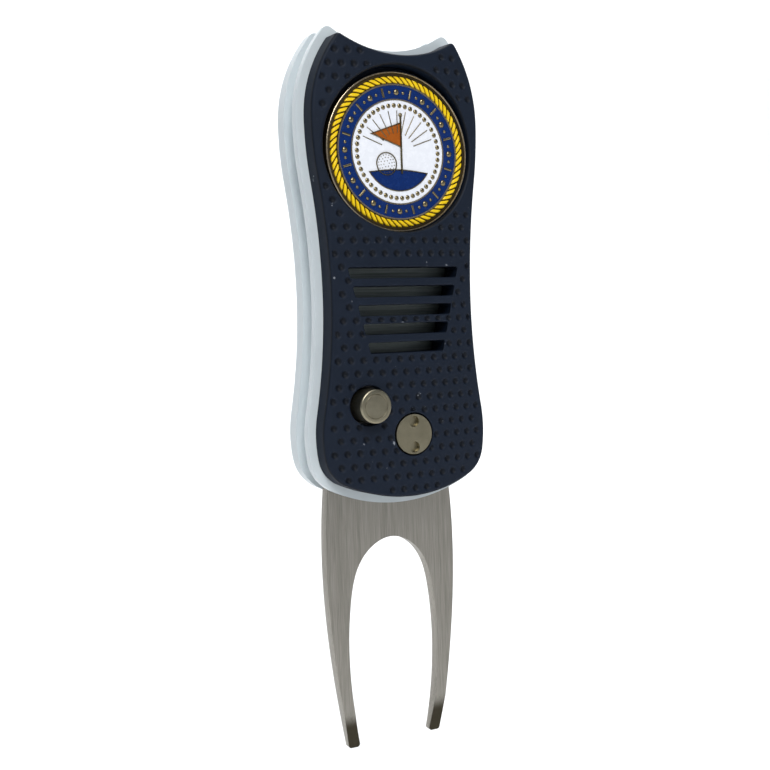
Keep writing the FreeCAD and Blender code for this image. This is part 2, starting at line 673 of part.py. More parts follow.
# ---------------------------------------------------------------- ball marker
def make_marker():
    """A coin with three enamelled cells, held by a cupped magnet in the handle."""
    edge = "marker_r - marker_rim"
    border = edge + " - marker_border"
    ring = border + " - marker_line"
    ring_in = ring + " - marker_ring"
    field = ring_in + " - marker_line"
    coin = turned("coin", "0", "marker_z", [("marker_r", "marker_front", "cup_front")])
    cells = {"marker_border_enamel": (edge, border), "marker_ring_enamel": (ring, ring_in),
             "marker_field_enamel": (field, None)}
    tools = []
    for label, (outer, inner) in cells.items():
        back = "marker_front + enamel_depth"
        tools.append(ring_piece(label + "_cell", outer, inner, "marker_front", back))
        keep(ring_piece(label, outer, inner, "marker_front + enamel_low", back), label)
    joined = doc.addObject("Part::MultiFuse", "marker_cells")
    joined.Shapes = tools
    keep(cut("marker_disc", coin, joined), "marker_disc")
    cup = turned("cup", "0", "marker_z", [("cup_r", "cup_front", "cup_front + cup_len")])
    hollow = turned("cup_hollow", "0", "marker_z",
                    [("cup_r - cup_wall", "cup_front", "cup_front + cup_len - cup_wall")])
    keep(cut("magnet_cup", cup, hollow), "magnet_cup")
    magnet = turned("magnet", "0", "marker_z",
                    [("cup_r - cup_wall", "cup_front", "cup_front + cup_len - cup_wall")])
    keep(magnet, "magnet")


def ring_piece(name, outer, inner, front, back):
    """A flat ring or disc round the marker's centre."""
    whole = turned(name + "_disc", "0", "marker_z", [(outer, front, back)])
    if inner is None:
        return whole
    hole = turned(name + "_hole", "0", "marker_z", [(inner, front, back)])
    return cut(name, whole, hole)


# ---------------------------------------------------------------- grille plate and screws
def make_grille_plate():
    body = new_body("grille_plate")
    sketch = sketch_on(body, "plate_outline", "plate_front + plate_thick")
    bottom = size("slot_top_z") - (SLOTS - 1) * size("slot_pitch") - size("slot_tall")
    margin = size("plate_margin")
    add_trapezoid(sketch, size("slot_top_z") + margin, bottom - margin, margin)
    pad(body, sketch, "plate_thick")


def make_screws():
    """Four small screws from behind and the threaded inserts that they hold in."""
    screws = []
    inserts = []
    head_back = "rear_back - screw_sink"
    for name, (x, z) in SCREW_SPOTS.items():
        blank = turned("screw_" + name, x, z, [
            ("screw_r", "frame_back - insert_len + screw_r", head_back + " - screw_head_thick"),
            ("screw_head_r", head_back + " - screw_head_thick", head_back)])
        drive = hex_socket("drive_" + name, x, z, "screw_r", head_back,
                           "screw_head_thick / 2")
        screws.append(cut("body_screw_" + name, blank, drive))
        tube = turned("insert_" + name, x, z,
                      [("insert_r", "frame_back - insert_len", "frame_back")])
        bore = turned("insert_bore_" + name, x, z,
                      [("screw_r", "frame_back - insert_len", "frame_back")])
        inserts.append(cut("threaded_insert_" + name, tube, bore))
    for label, pieces in (("body_screws", screws), ("threaded_inserts", inserts)):
        group = doc.addObject("Part::Compound", label)
        group.Links = pieces
        keep(group, label)


def check_and_write():
    """Refuse a failed feature or a bad shape, then write one STEP file per sub-part."""
    doc.recompute()
    for thing in doc.Objects:
        if "Invalid" in thing.State or "Error" in thing.State:
            raise RuntimeError("%s is %s" % (thing.Name, thing.State))
    for label, thing in NAMES.items():
        if thing.Shape.isNull() or not thing.Shape.isValid():
            raise RuntimeError(label + " has a bad shape")
    os.makedirs("parts", exist_ok=True)
    for label, thing in NAMES.items():
        thing.Shape.exportStep("parts/%s.step" % label)
        box = thing.Shape.BoundBox
        print("%-22s solids %d  volume %8.2f  x %6.2f..%6.2f  y %6.2f..%6.2f  z %6.2f..%6.2f"
              % (label, len(thing.Shape.Solids), thing.Shape.Volume, box.XMin, box.XMax,
                 box.YMin, box.YMax, box.ZMin, box.ZMax))
    print("%d sub-parts" % len(NAMES))


make_front_cover()
make_front_frame()
make_rear_shell()
make_fork()
make_pivot()
make_washer("front_washer", "fork_front - layer_gap / 2")
make_washer("back_washer", "fork_back + layer_gap / 2 + washer_thick")
make_fork_spring()
make_button()
make_marker()
make_grille_plate()
make_screws()
check_and_write()
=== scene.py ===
# %% [markdown]
# # A spring-opening divot repair tool
# A golfer lifts the turf round a ball mark with this tool. The CAD frame holds the handle, the
# folding fork, the lock button and the ball marker, each on its own body. This lesson keeps that
# frame and adds what the eye looks for: a dimpled cover, struck and enamelled marker work,
# brushed and plated metal, and the light of a small product studio.

# %% Load the frame
import math
import bmesh
import bpy
import numpy as np
from mathutils import Matrix, Vector


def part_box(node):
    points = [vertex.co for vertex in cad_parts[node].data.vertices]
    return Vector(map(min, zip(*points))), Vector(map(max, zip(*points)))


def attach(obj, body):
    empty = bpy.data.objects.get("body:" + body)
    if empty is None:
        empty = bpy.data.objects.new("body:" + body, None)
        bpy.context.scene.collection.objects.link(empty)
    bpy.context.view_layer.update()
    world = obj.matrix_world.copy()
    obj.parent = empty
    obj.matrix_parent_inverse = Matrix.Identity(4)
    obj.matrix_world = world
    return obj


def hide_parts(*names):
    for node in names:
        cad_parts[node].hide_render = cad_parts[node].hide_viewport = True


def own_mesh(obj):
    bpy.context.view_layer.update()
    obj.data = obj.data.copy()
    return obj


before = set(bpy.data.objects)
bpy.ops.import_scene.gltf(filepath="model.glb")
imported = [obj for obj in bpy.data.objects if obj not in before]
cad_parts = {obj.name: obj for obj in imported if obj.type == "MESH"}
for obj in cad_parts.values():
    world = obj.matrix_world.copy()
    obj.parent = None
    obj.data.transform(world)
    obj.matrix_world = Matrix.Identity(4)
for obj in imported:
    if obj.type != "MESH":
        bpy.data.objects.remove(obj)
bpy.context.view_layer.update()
MM = 0.001


# %% [markdown]
# ## Where the camera stands
# The tool stands upright, and the camera looks at it from its left, a little above the middle,
# from about 19 cm away. So close, the near edge is clearly larger than the far one, and a lens
# of 53 mm on a 36 mm sensor frames it. The camera is turned by three angles: round the
# object, up or down, and a small roll. Writing them as one matrix keeps them exact.

# %% Camera
CAMERA_AT = Vector((-86.2, -164.4, 70.6)) * MM
CAMERA_TURN = math.radians(-27.59)
CAMERA_RISE = math.radians(3.46)
CAMERA_ROLL = math.radians(-1.85)
LENS_MM = 52.7
SENSOR_MM = 36.0
CLIP_NEAR = 5 * MM


def show(name, data):
    """A new object in the scene, at the origin."""
    thing = bpy.data.objects.new(name, data)
    bpy.context.scene.collection.objects.link(thing)
    return thing


def make_camera():
    """Looks along -(sin a cos e, -cos a cos e, sin e), rolled about that line."""
    toward = -Vector((math.sin(CAMERA_TURN) * math.cos(CAMERA_RISE),
                      -math.cos(CAMERA_TURN) * math.cos(CAMERA_RISE), math.sin(CAMERA_RISE)))
    right = toward.cross(Vector((0, 0, 1))).normalized()
    up = right.cross(toward)
    rolled_right = right * math.cos(CAMERA_ROLL) + up * math.sin(CAMERA_ROLL)
    rolled_up = up * math.cos(CAMERA_ROLL) - right * math.sin(CAMERA_ROLL)
    data = bpy.data.cameras.new("camera")
    data.lens = LENS_MM
    data.sensor_width = SENSOR_MM
    data.clip_start = CLIP_NEAR
    camera = show("camera", data)
    turn = Matrix((rolled_right, rolled_up, -toward)).transposed()
    camera.matrix_world = Matrix.Translation(CAMERA_AT) @ turn.to_4x4()
    bpy.context.scene.camera = camera
    print("camera:", round(CAMERA_AT.length / MM), "mm from the origin")


make_camera()


# %% [markdown]
# ## A white sweep and soft light
# A product shot on white uses a sweep: a sheet that runs flat under the object and curves up
# behind it, so that no horizon shows. Here it is a profile carried sideways: a floor, a quarter
# circle and a wall. Three large area lights act as softboxes for the object, a fourth washes
# the wall, and a dim world, set at the end, fills the rest.

# %% Sweep and lights
FLOOR_Z = -60.0 * MM
SWEEP_NEAR = -1.2
SWEEP_FAR = 0.75
SWEEP_BEND = 0.5
BEND_STEPS = 24
SWEEP_HIGH = 2.2
SWEEP_HALF = 2.5


def add_mesh(name, points, faces, smooth=True):
    """A mesh object at the origin from an (n, 3) array of points and a list of faces."""
    mesh = bpy.data.meshes.new(name)
    mesh.from_pydata(np.asarray(points, dtype=float).tolist(), [], [list(f) for f in faces])
    mesh.polygons.foreach_set("use_smooth", np.full(len(mesh.polygons), smooth))
    mesh.update()
    print(f"{name}: {len(mesh.polygons)} faces")
    return show(name, mesh)


def at(x, y, z):
    """Points (n, 3) from arrays or numbers that stretch to one common shape."""
    return np.stack(np.broadcast_arrays(x, y, z), -1).reshape(-1, 3)


def grid_faces(rows, columns, wrap_columns=False, wrap_rows=False):
    """Quads of a grid whose point (row, column) is number row * columns + column."""
    row = np.arange(rows if wrap_rows else rows - 1)
    column = np.arange(columns if wrap_columns else columns - 1)
    r, c = np.meshgrid(row, column, indexing="ij")
    r2 = (r + 1) % rows
    c2 = (c + 1) % columns
    quads = np.stack([r * columns + c, r * columns + c2, r2 * columns + c2, r2 * columns + c], -1)
    return quads.reshape(-1, 4)


def make_sweep():
    """Floor, quarter circle of radius SWEEP_BEND, and wall, carried along X."""
    turn = np.linspace(0, math.pi / 2, BEND_STEPS)
    wall = SWEEP_FAR + SWEEP_BEND
    y = np.concatenate([[SWEEP_NEAR], SWEEP_FAR + SWEEP_BEND * np.sin(turn), [wall]])
    z = np.concatenate([[0], SWEEP_BEND * (1 - np.cos(turn)), [SWEEP_HIGH]]) + FLOOR_Z
    across = np.linspace(-SWEEP_HALF, SWEEP_HALF, 3)
    sweep = add_mesh("sweep", at(across[:, None], y, z), grid_faces(3, len(y)))
    return sweep


def softbox(name, place, target, width, height, power):
    """A rectangular area light that faces its target."""
    data = bpy.data.lights.new(name, "AREA")
    data.shape = "RECTANGLE"
    data.size = width
    data.size_y = height
    data.energy = power
    light = show(name, data)
    light.location = place
    light.rotation_euler = (Vector(target) - Vector(place)).to_track_quat("-Z", "Y").to_euler()


sweep = make_sweep()
MIDDLE = (0, 0, 0.06)
softbox("key_left", (-0.24, -0.62, 0.60), MIDDLE, 0.32, 0.42, 5.0)
softbox("fill_right", (0.60, -0.45, 0.12), MIDDLE, 0.25, 0.7, 0.5)
softbox("top", (0.05, 0.0, 0.80), MIDDLE, 0.6, 0.4, 1.8)
softbox("wall_wash", (0.55, 0.35, 1.2), (0.65, 1.25, 0.30), 2.2, 0.6, 24.0)


# %% [markdown]
# ## Shader maths as sums
# A procedural finish is a small calculation at each point of the surface. Wiring it node by node
# hides the formula, so one class wraps a socket and its overloaded operators add Math nodes.
# One method makes every other node from its type, its settings and its inputs.

# %% Shader helper
def operator(operation, reflected=False):
    """A method that turns one Python operator into a Math node, its sides swapped if reflected."""
    def apply(self, other):
        sides = (other, self) if reflected else (self, other)
        return self.finish.node("Math", {"operation": operation}, *sides)
    return apply


class Wire:
    """A socket of a material that takes part in sums: a + b, a * b, 1 - a and so on."""

    def __init__(self, finish, socket):
        self.finish = finish
        self.socket = socket

    __add__, __radd__ = operator("ADD"), operator("ADD", True)
    __sub__, __rsub__ = operator("SUBTRACT"), operator("SUBTRACT", True)
    __mul__, __rmul__ = operator("MULTIPLY"), operator("MULTIPLY", True)
    __truediv__, __pow__ = operator("DIVIDE"), operator("POWER")


class Finish:
    """One material: its shader's fixed values, and the nodes that vary them."""

    def __init__(self, name, **fixed):
        self.material = bpy.data.materials.new(name)
        self.material.use_nodes = True
        self.nodes = self.material.node_tree.nodes
        self.links = self.material.node_tree.links
        self.shader = self.nodes["Principled BSDF"]
        for socket, value in fixed.items():
            self.shader.inputs[socket.replace("_", " ")].default_value = value
        self.place = self.node("TexCoord", {}, output="Object")

    def node(self, kind, settings, *values, output=0, **named):
        """Add a ShaderNode, apply its settings, then fill its sockets in order or by name."""
        made = self.nodes.new("ShaderNode" + kind)
        for key, value in settings.items():
            setattr(made, key, value)
        for key, value in list(enumerate(values)) + list(named.items()):
            self.feed(made.inputs[key], value)
        return Wire(self, made.outputs[output])

    def feed(self, socket, value):
        """Link a Wire to a socket, or set a plain value on it."""
        if isinstance(value, Wire):
            self.links.new(value.socket, socket)
        else:
            socket.default_value = value

    def vary(self, socket, value):
        """Feed one of the shader's own sockets."""
        self.feed(self.shader.inputs[socket], value)

    def axes(self):
        """The three object coordinates, each as a Wire."""
        split = self.node("SeparateXYZ", {}, self.place).socket.node
        return [Wire(self, socket) for socket in split.outputs]

    def stretched(self, scale):
        """Object coordinates, scaled along each axis."""
        return self.node("Mapping", {}, Vector=self.place, Scale=scale)

    def noise(self, scale, detail=3.0, roughness=0.5, where=None):
        """Cloudy noise from 0 to 1, with scale in cells per metre."""
        return self.node("TexNoise", {}, Vector=where or self.place, Scale=scale, Detail=detail,
                         Roughness=roughness)

    def step(self, value, low, high):
        """0 below low, 1 above high, and a smooth rise between."""
        return self.node("MapRange", {"interpolation_type": "SMOOTHSTEP"}, value, low, high)

    def mix(self, amount, first, second):
        """A blend of two colours."""
        made = self.nodes.new("ShaderNodeMix")
        made.data_type = "RGBA"
        for socket, value in ((made.inputs[0], amount), (made.inputs[6], first),
                              (made.inputs[7], second)):
            self.feed(socket, value)
        return Wire(self, made.outputs[2])

    def surface(self, colour, roughness, height, distance, strength=0.5):
        """Feed the shader, with relief from a height whose full range is distance in metres."""
        self.vary("Base Color", colour)
        self.vary("Roughness", roughness)
        bent = self.node("Bump", {}, Height=height, Distance=distance, Strength=strength)
        self.vary("Normal", bent)
        return self.material


def rgb(red, green, blue):
    """A colour given as it looks on a screen, 0 to 255, turned into light values."""
    shares = np.array([red, green, blue]) / 255.0
    linear = np.where(shares <= 0.04045, shares / 12.92, ((shares + 0.055) / 1.055) ** 2.4)
    return (*[float(c) for c in linear], 1.0)


# %% [markdown]
# ## The outline, measured by formula
# The handle's outline is a chain of arcs that run smoothly into each other, the same chain that
# the CAD cover is cut from. For any point, the distance to the outline is the distance to the
# arc whose sector the point lies in. That one number does a lot of work below: it trims the
# cover's sheet, keeps dimples off the edge, and carries the edge's rounding outwards.

# %% The outline's arcs
WAIST_HALF, WAIST_Z = 12.7 * MM, 73.9 * MM
PEAK_HALF, PEAK_Z = 14.85 * MM, 101.4 * MM
HIP_HALF, HIP_Z = 14.72 * MM, 51.9 * MM
SHOULDER_R, FLANK_R, HIP_R = 20.8 * MM, 60.0 * MM, 20.0 * MM
CORNER_R, BASE_R, BASE_Z = 5.5 * MM, 26.0 * MM, 41.75 * MM
DISH_R, DISH_Z, HORN_R = 18.95 * MM, 111.5 * MM, 0.8 * MM


def touching(first, reach_a, second, reach_b, upper):
    """Centre of an arc that touches two others: where circles of the two reaches cross."""
    gap = second - first
    span = np.hypot(*gap)
    along = (reach_a ** 2 - reach_b ** 2 + span ** 2) / (2 * span)
    aside = math.sqrt(reach_a ** 2 - along ** 2)
    unit = gap / span
    normal = np.array([-unit[1], unit[0]])
    spots = [first + unit * along + normal * side * aside for side in (1, -1)]
    spots = [spot for spot in spots if spot[0] > 0]
    return max(spots, key=lambda spot: spot[1] if upper else -spot[1])


def outline_arcs():
    """The right half as (centre, radius, sign, first way, last way), top to bottom.

    The sign is 1 where the arc bulges outwards and -1 where it is hollow.
    """
    dish = np.array([0, DISH_Z + DISH_R])
    shoulder = np.array([PEAK_HALF - SHOULDER_R, PEAK_Z])
    flank = np.array([PEAK_HALF - FLANK_R, PEAK_Z])
    hip = np.array([HIP_HALF - HIP_R, HIP_Z])
    base = np.array([0, BASE_Z + BASE_R])
    horn = touching(dish, DISH_R + HORN_R, shoulder, SHOULDER_R - HORN_R, True)
    corner = touching(hip, HIP_R - CORNER_R, base, BASE_R - CORNER_R, False)
    waists = []
    for half, level, radius in ((PEAK_HALF, PEAK_Z, FLANK_R), (HIP_HALF, HIP_Z, HIP_R)):
        inward = half - WAIST_HALF
        total = (inward ** 2 + (level - WAIST_Z) ** 2) / (2 * inward)
        waists.append((np.array([WAIST_HALF + total - radius, WAIST_Z]), total - radius))
    (upper, upper_r), (lower, lower_r) = waists

    def way(start, end):
        return (end - start) / np.hypot(*(end - start))

    down, right, left = np.array([0, -1]), np.array([1, 0]), np.array([-1, 0])
    return [(dish, DISH_R, -1, down, way(dish, horn)),
            (horn, HORN_R, 1, way(horn, dish), way(shoulder, horn)),
            (shoulder, SHOULDER_R, 1, way(shoulder, horn), right),
            (flank, FLANK_R, 1, right, way(flank, upper)),
            (upper, upper_r, -1, way(upper, flank), left),
            (lower, lower_r, -1, left, way(lower, hip)),
            (hip, HIP_R, 1, way(hip, lower), way(hip, corner)),
            (corner, CORNER_R, 1, way(hip, corner), way(base, corner)),
            (base, BASE_R, 1, way(base, corner), down)]


ARCS = outline_arcs()
print("outline:", len(ARCS), "arcs a side")


def outline_distance(points):
    """Distance to the outline, negative inside: the nearest arc among those whose sector holds
    the point, with x mirrored so that one half serves both."""
    mirrored = np.stack([np.abs(points[:, 0]), points[:, 1]], -1)
    nearest = np.full(len(points), np.inf)
    for centre, radius, sign, first, last in ARCS:
        offset = mirrored - centre
        reach = np.hypot(offset[:, 0], offset[:, 1])
        middle = (first + last) / np.hypot(*(first + last))
        cosine = offset @ middle / np.maximum(reach, 1e-12)
        inside_sector = cosine >= first @ middle - 1e-9
        distance = sign * (reach - radius)
        closer = inside_sector & (np.abs(distance) < np.abs(nearest))
        nearest = np.where(closer, distance, nearest)
    return np.where(np.isinf(nearest), -PEAK_HALF, nearest)


# %% [markdown]
# ## What the cover is pierced by
# The marker's recess, the button's hole and the pivot's seat are circles. The grille is five
# slots that narrow downwards. Each is also a distance, so the solid part of the cover is where
# the largest of all these distances is negative.

# %% Recess, holes and slots
low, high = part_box("marker_disc")
MARKER_Z = (low[2] + high[2]) / 2
MARKER_R = (high[0] - low[0]) / 2
low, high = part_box("button_cap")
BUTTON_X, BUTTON_Z = (low[0] + high[0]) / 2, (low[2] + high[2]) / 2
BUTTON_R = (high[0] - low[0]) / 2
low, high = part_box("pivot_barrel")
PIVOT_X, PIVOT_Z = (low[0] + high[0]) / 2, (low[2] + high[2]) / 2
PIVOT_HEAD_R = (high[0] - low[0]) / 2
RECESS_GAP, RECESS_RISE = 0.45 * MM, 0.4 * MM
RECESS_R = MARKER_R + RECESS_GAP
RECESS_Z = MARKER_Z + RECESS_RISE
BUTTON_HOLE_R = 3.15 * MM
PIVOT_SEAT_GAP = 0.25 * MM
PIVOT_SEAT_R = PIVOT_HEAD_R + PIVOT_SEAT_GAP
SLOT_COUNT = 5
SLOT_TOP = 78.35 * MM
SLOT_PITCH = 2.94 * MM
SLOT_TALL = 1.7 * MM
SLOT_TOP_HALF = 9.9 * MM
SLOT_TAPER = 0.25
SLOT_CORNER = 0.32 * MM
RECESS_ROUND = 0.5 * MM
HOLE_ROUND = 0.16 * MM
ROUNDS = np.array([[RECESS_ROUND]] + [[HOLE_ROUND]] * (SLOT_COUNT + 2))
print("openings:", len(ROUNDS))


def circle_distance(points, x, z, radius):
    """Distance from a circle's rim, negative inside it."""
    return np.hypot(points[:, 0] - x, points[:, 1] - z) - radius


def slot_distance(points, number):
    """Distance from a round-cornered trapezoid: from a smaller sharp one, less the corner."""
    top = SLOT_TOP - number * SLOT_PITCH - SLOT_CORNER
    bottom = top - SLOT_TALL + 2 * SLOT_CORNER
    slant = math.hypot(1, SLOT_TAPER)

    def half(level):
        return SLOT_TOP_HALF - SLOT_TAPER * (SLOT_TOP - level) - SLOT_CORNER * slant

    corners = np.array([[-half(top), top], [half(top), top], [half(bottom), bottom],
                        [-half(bottom), bottom]])
    nearest = np.full(len(points), np.inf)
    inside = np.ones(len(points), dtype=bool)
    for start, end in zip(corners, np.roll(corners, -1, axis=0)):
        edge = end - start
        offset = points - start
        share = np.clip(offset @ edge / (edge @ edge), 0, 1)
        gap = offset - share[:, None] * edge
        nearest = np.minimum(nearest, np.hypot(gap[:, 0], gap[:, 1]))
        inside &= edge[0] * offset[:, 1] - edge[1] * offset[:, 0] <= 0
    return np.where(inside, -nearest, nearest) - SLOT_CORNER


def openings(points):
    """Distances from every opening in the cover, one row each."""
    rows = [circle_distance(points, 0, RECESS_Z, RECESS_R),
            circle_distance(points, BUTTON_X, BUTTON_Z, BUTTON_HOLE_R),
            circle_distance(points, PIVOT_X, PIVOT_Z, PIVOT_SEAT_R)]
    rows += [slot_distance(points, number) for number in range(SLOT_COUNT)]
    return np.array(rows)


# %% [markdown]
# ## Dimples on a staggered grid
# The dimples sit in rows one pitch apart, and every second row is shifted by half a pitch. A
# point can only lie in the nearest dimple of an even row or of an odd row, so both are worked
# out with rounding and the closer one wins: no loop over dimples is needed. A dimple too near
# an edge is left out, as the mould leaves it out, and the rest fade to nothing at the rim itself.

# %% Height of the dimpled face
COVER_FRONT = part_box("front_cover")[0][1]
FRAME_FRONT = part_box("front_frame")[0][1]
DOME_R = 73.0 * MM
DIMPLE_PITCH = 2.073 * MM
DIMPLE_R = 0.62 * MM
DIMPLE_DEPTH = 0.40 * MM
DIMPLE_ROW_Z = 80.52 * MM
EDGE_ROUND = 0.42 * MM
SIDE_DRAFT = 0.12 * MM
DIMPLE_COLUMN_X = 0.24 * DIMPLE_PITCH
EDGE_MARGIN = 0.85 * MM
OPENING_MARGIN = 0.2 * MM
RIM_FADE = 0.22 * MM


def dome(x):
    """Depth of the plain cylinder-shaped face: crown + R - sqrt(R^2 - x^2)."""
    return COVER_FRONT + DOME_R - np.sqrt(DOME_R ** 2 - x ** 2)


def dimple_sink(points):
    """How far each point is sunk: depth * (1 - (r / R)^2), level again at the lip."""
    across = (points[:, 0] - DIMPLE_COLUMN_X) / DIMPLE_PITCH
    down = (DIMPLE_ROW_Z - points[:, 1]) / DIMPLE_PITCH
    best = np.full(len(points), np.inf)
    centre = np.zeros_like(points)
    for odd in (0, 1):
        row = 2 * np.round((down - odd) / 2) + odd
        column = np.round(across - odd / 2) + odd / 2
        spot = np.stack([DIMPLE_COLUMN_X + column * DIMPLE_PITCH,
                         DIMPLE_ROW_Z - row * DIMPLE_PITCH], -1)
        reach = np.hypot(*(points - spot).T)
        closer = reach < best
        best = np.where(closer, reach, best)
        centre = np.where(closer[:, None], spot, centre)
    room = (openings(centre) - ROUNDS).min(0)
    clear = (outline_distance(centre) < -EDGE_MARGIN) & (room > OPENING_MARGIN)
    share = np.clip(best / DIMPLE_R, 0, 1)
    bowl = DIMPLE_DEPTH * (1 - share ** 2)
    inset = np.minimum(-outline_distance(points) - EDGE_ROUND - SIDE_DRAFT,
                       (openings(points) - ROUNDS).min(0))
    return np.where(clear, bowl, 0) * np.clip(inset / RIM_FADE, 0, 1)


# %% [markdown]
# ## Trimming a sheet to its edges
# A height over a regular grid is easy, but its edge would be a staircase. So each grid point
# closer to an edge than half a cell slides onto it, along the direction in which the distance
# grows. A cell is kept if all four corners are inside or on the edge, and three good corners
# make a triangle. The rim then lies exactly on the curve, ready to be carried on as a wall.

# %% Trimmed sheet
SHEET_STEP = 0.145 * MM
SLOPE_STEP = 0.00005 * MM
SLIDES = 3


def slope(distance, points):
    """Direction in which a distance grows, from its change over a tiny step."""
    ahead = np.array([[SLOPE_STEP, 0.0], [0.0, SLOPE_STEP]])
    change = [distance(points + step) - distance(points - step) for step in ahead]
    way = np.stack(change, -1)
    return way / np.maximum(np.hypot(way[:, 0], way[:, 1]), 1e-15)[:, None]


def trimmed_sheet(distance, low, high, spacing):
    """Points (n, 2) and faces of the area where the distance is negative."""
    xs = np.arange(low[0] - spacing, high[0] + 2 * spacing, spacing)
    zs = np.arange(low[1] - spacing, high[1] + 2 * spacing, spacing)
    grid = np.stack(np.meshgrid(xs, zs, indexing="ij"), -1).reshape(-1, 2)
    gap = distance(grid)
    near = np.flatnonzero(np.abs(gap) < 0.5 * spacing)
    for _ in range(SLIDES):
        spots = grid[near]
        grid[near] = spots - distance(spots)[:, None] * slope(distance, spots)
    good = gap < 0.5 * spacing
    slid = np.zeros(len(grid), dtype=bool)
    slid[near] = True
    cells = grid_faces(len(xs), len(zs))
    count = good[cells].sum(1)
    whole = cells[(count == 4) & ~slid[cells].all(1)]
    part = cells[(count == 3)]
    rows = np.arange(len(part))
    missing = np.argmin(good[part], 1)
    corners = np.stack([part[rows, (missing + turn) % 4] for turn in (1, 2, 3)], -1)
    corners = corners[~slid[corners].all(1)]
    used = np.unique(np.concatenate([whole.ravel(), corners.ravel()]))
    number = np.full(len(grid), -1)
    number[used] = np.arange(len(used))
    return grid[used], number[whole].tolist() + number[corners].tolist()


def rims(faces):
    """The sheet's closed rims: chains of edges that only one face uses, in face order."""
    following = {}
    edges = set()
    for face in faces:
        edges.update(zip(face, face[1:] + face[:1]))
    for start, end in edges:
        if (end, start) not in edges:
            following.setdefault(start, []).append(end)
    loops = []
    while following:
        start = next(iter(following))
        loop = [start]
        while True:
            ends = following[loop[-1]]
            step = ends.pop()
            if not ends:
                del following[loop[-1]]
            if step == start:
                break
            loop.append(step)
        loops.append(np.array(loop))
    return sorted(loops, key=len, reverse=True)


# %% [markdown]
# ## The dimpled cover
# On the real tool this is a thick soft-touch plate with a crisp rounded edge. It is one closed
# surface: the trimmed face, then each rim carried along a profile of (outwards, depth) steps.
# A quarter circle rounds the edge, a straight run makes the wall, and the recess gets a floor.
# The flat underside that rests on the frame closes it all.

# %% Cover skin
ROUND_STEPS = 4
MARKER_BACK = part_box("marker_disc")[1][1]
FLOOR_GAP, MAGNET_GAP = 0.05 * MM, 0.1 * MM
RECESS_FLOOR = MARKER_BACK + FLOOR_GAP
MAGNET_HOLE_R = (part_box("magnet_cup")[1][0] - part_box("magnet_cup")[0][0]) / 2 + MAGNET_GAP
HORN_ROOM = 4 * MM
COVER_CREASE = math.radians(40)


def face_distance(points):
    """Negative where the flat-edged face is: inside the outline and clear of every opening."""
    return np.maximum(outline_distance(points) + EDGE_ROUND + SIDE_DRAFT,
                      (ROUNDS - openings(points)).max(0))


def face_depth(points):
    """Depth of the finished face, dome and dimples together."""
    return dome(points[:, 0]) + dimple_sink(points)


class Shell:
    """Collects the points and faces of one mesh."""

    def __init__(self):
        self.points = []
        self.faces = []
        self.count = 0

    def add(self, points, faces=()):
        """Take in points, and faces that number them from 0. Returns their numbers here."""
        first = self.count
        self.points.append(points)
        self.faces += [[n + first for n in face] for face in faces]
        self.count += len(points)
        return np.arange(first, self.count)

    def piece(self, name):
        return add_mesh(name, np.concatenate(self.points), self.faces)

    def join(self, loop, after):
        """A band of quads between two rings of points."""
        back = np.roll(loop, -1)
        ahead = np.roll(after, -1)
        self.faces += np.stack([back, loop, after, ahead], -1).tolist()

    def carry(self, loop, spots, ways, profile):
        """Carry a rim outwards and back: each step is (outwards, depth of each point)."""
        for outward, depth in profile:
            moved = spots + outward * ways
            ring = self.add(at(moved[:, 0], depth, moved[:, 1]))
            self.join(loop, ring)
            loop = ring
        return loop


def rounding(radius, top):
    """Quarter circle from the face to the wall: (r sin t, top + r (1 - cos t))."""
    turn = np.linspace(0, math.pi / 2, ROUND_STEPS + 1)[1:]
    return [(radius * math.sin(t), top + radius * (1 - math.cos(t))) for t in turn]


def make_cover():
    """The whole cover as one closed mesh."""
    spots, faces = trimmed_sheet(face_distance, (-PEAK_HALF, BASE_Z),
                                 (PEAK_HALF, DISH_Z + HORN_ROOM), SHEET_STEP)
    shell = Shell()
    shell.add(at(spots[:, 0], face_depth(spots), spots[:, 1]), faces)
    ends = []
    for number, loop in enumerate(rims(faces)):
        rim = spots[loop]
        ways = slope(face_distance, rim)
        top = face_depth(rim)
        outer = number == 0
        back = np.full(len(loop), FRAME_FRONT)
        recess = not outer and np.ptp(rim, axis=0).min() > 2 * MARKER_R
        profile = rounding(EDGE_ROUND if outer else RECESS_ROUND if recess else HOLE_ROUND, top)
        reach, depth = profile[-1]
        if outer:
            wall = [(reach + SIDE_DRAFT * share, depth + (back - depth) * share)
                    for share in (0.06, 0.5, 1.0)]
        else:
            floor = np.full(len(loop), RECESS_FLOOR if recess else FRAME_FRONT)
            wall = [(reach, depth + (floor - depth) * share) for share in (0.08, 1.0)]
            if recess:
                inward = RECESS_R - MAGNET_HOLE_R
                wall += [(reach + inward, floor), (reach + inward, back)]
        ends.append(shell.carry(loop, rim, ways, profile + wall))
    cover = shell.piece("cover_skin")
    mesh = cover.data
    close_underside(mesh, ends)
    mesh.polygons.foreach_set("use_smooth", np.ones(len(mesh.polygons), dtype=bool))
    mesh.set_sharp_from_angle(angle=COVER_CREASE)
    print("cover_skin:", len(ends), "rims closed")
    return cover


def close_underside(mesh, ends):
    """Fill the flat back between the carried rims."""
    work = bmesh.new()
    work.from_mesh(mesh)
    work.verts.ensure_lookup_table()
    lasts = {int(n) for ring in ends for n in ring}
    edges = [e for e in work.edges if e.is_boundary and all(v.index in lasts for v in e.verts)]
    bmesh.ops.triangle_fill(work, edges=edges, use_beauty=False, use_dissolve=False)
    bmesh.ops.recalc_face_normals(work, faces=work.faces)
    print("open edges:", sum(not e.is_manifold for e in work.edges))
    work.to_mesh(mesh)
    work.free()


cover = make_cover()
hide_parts("front_cover")
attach(cover, "handle")


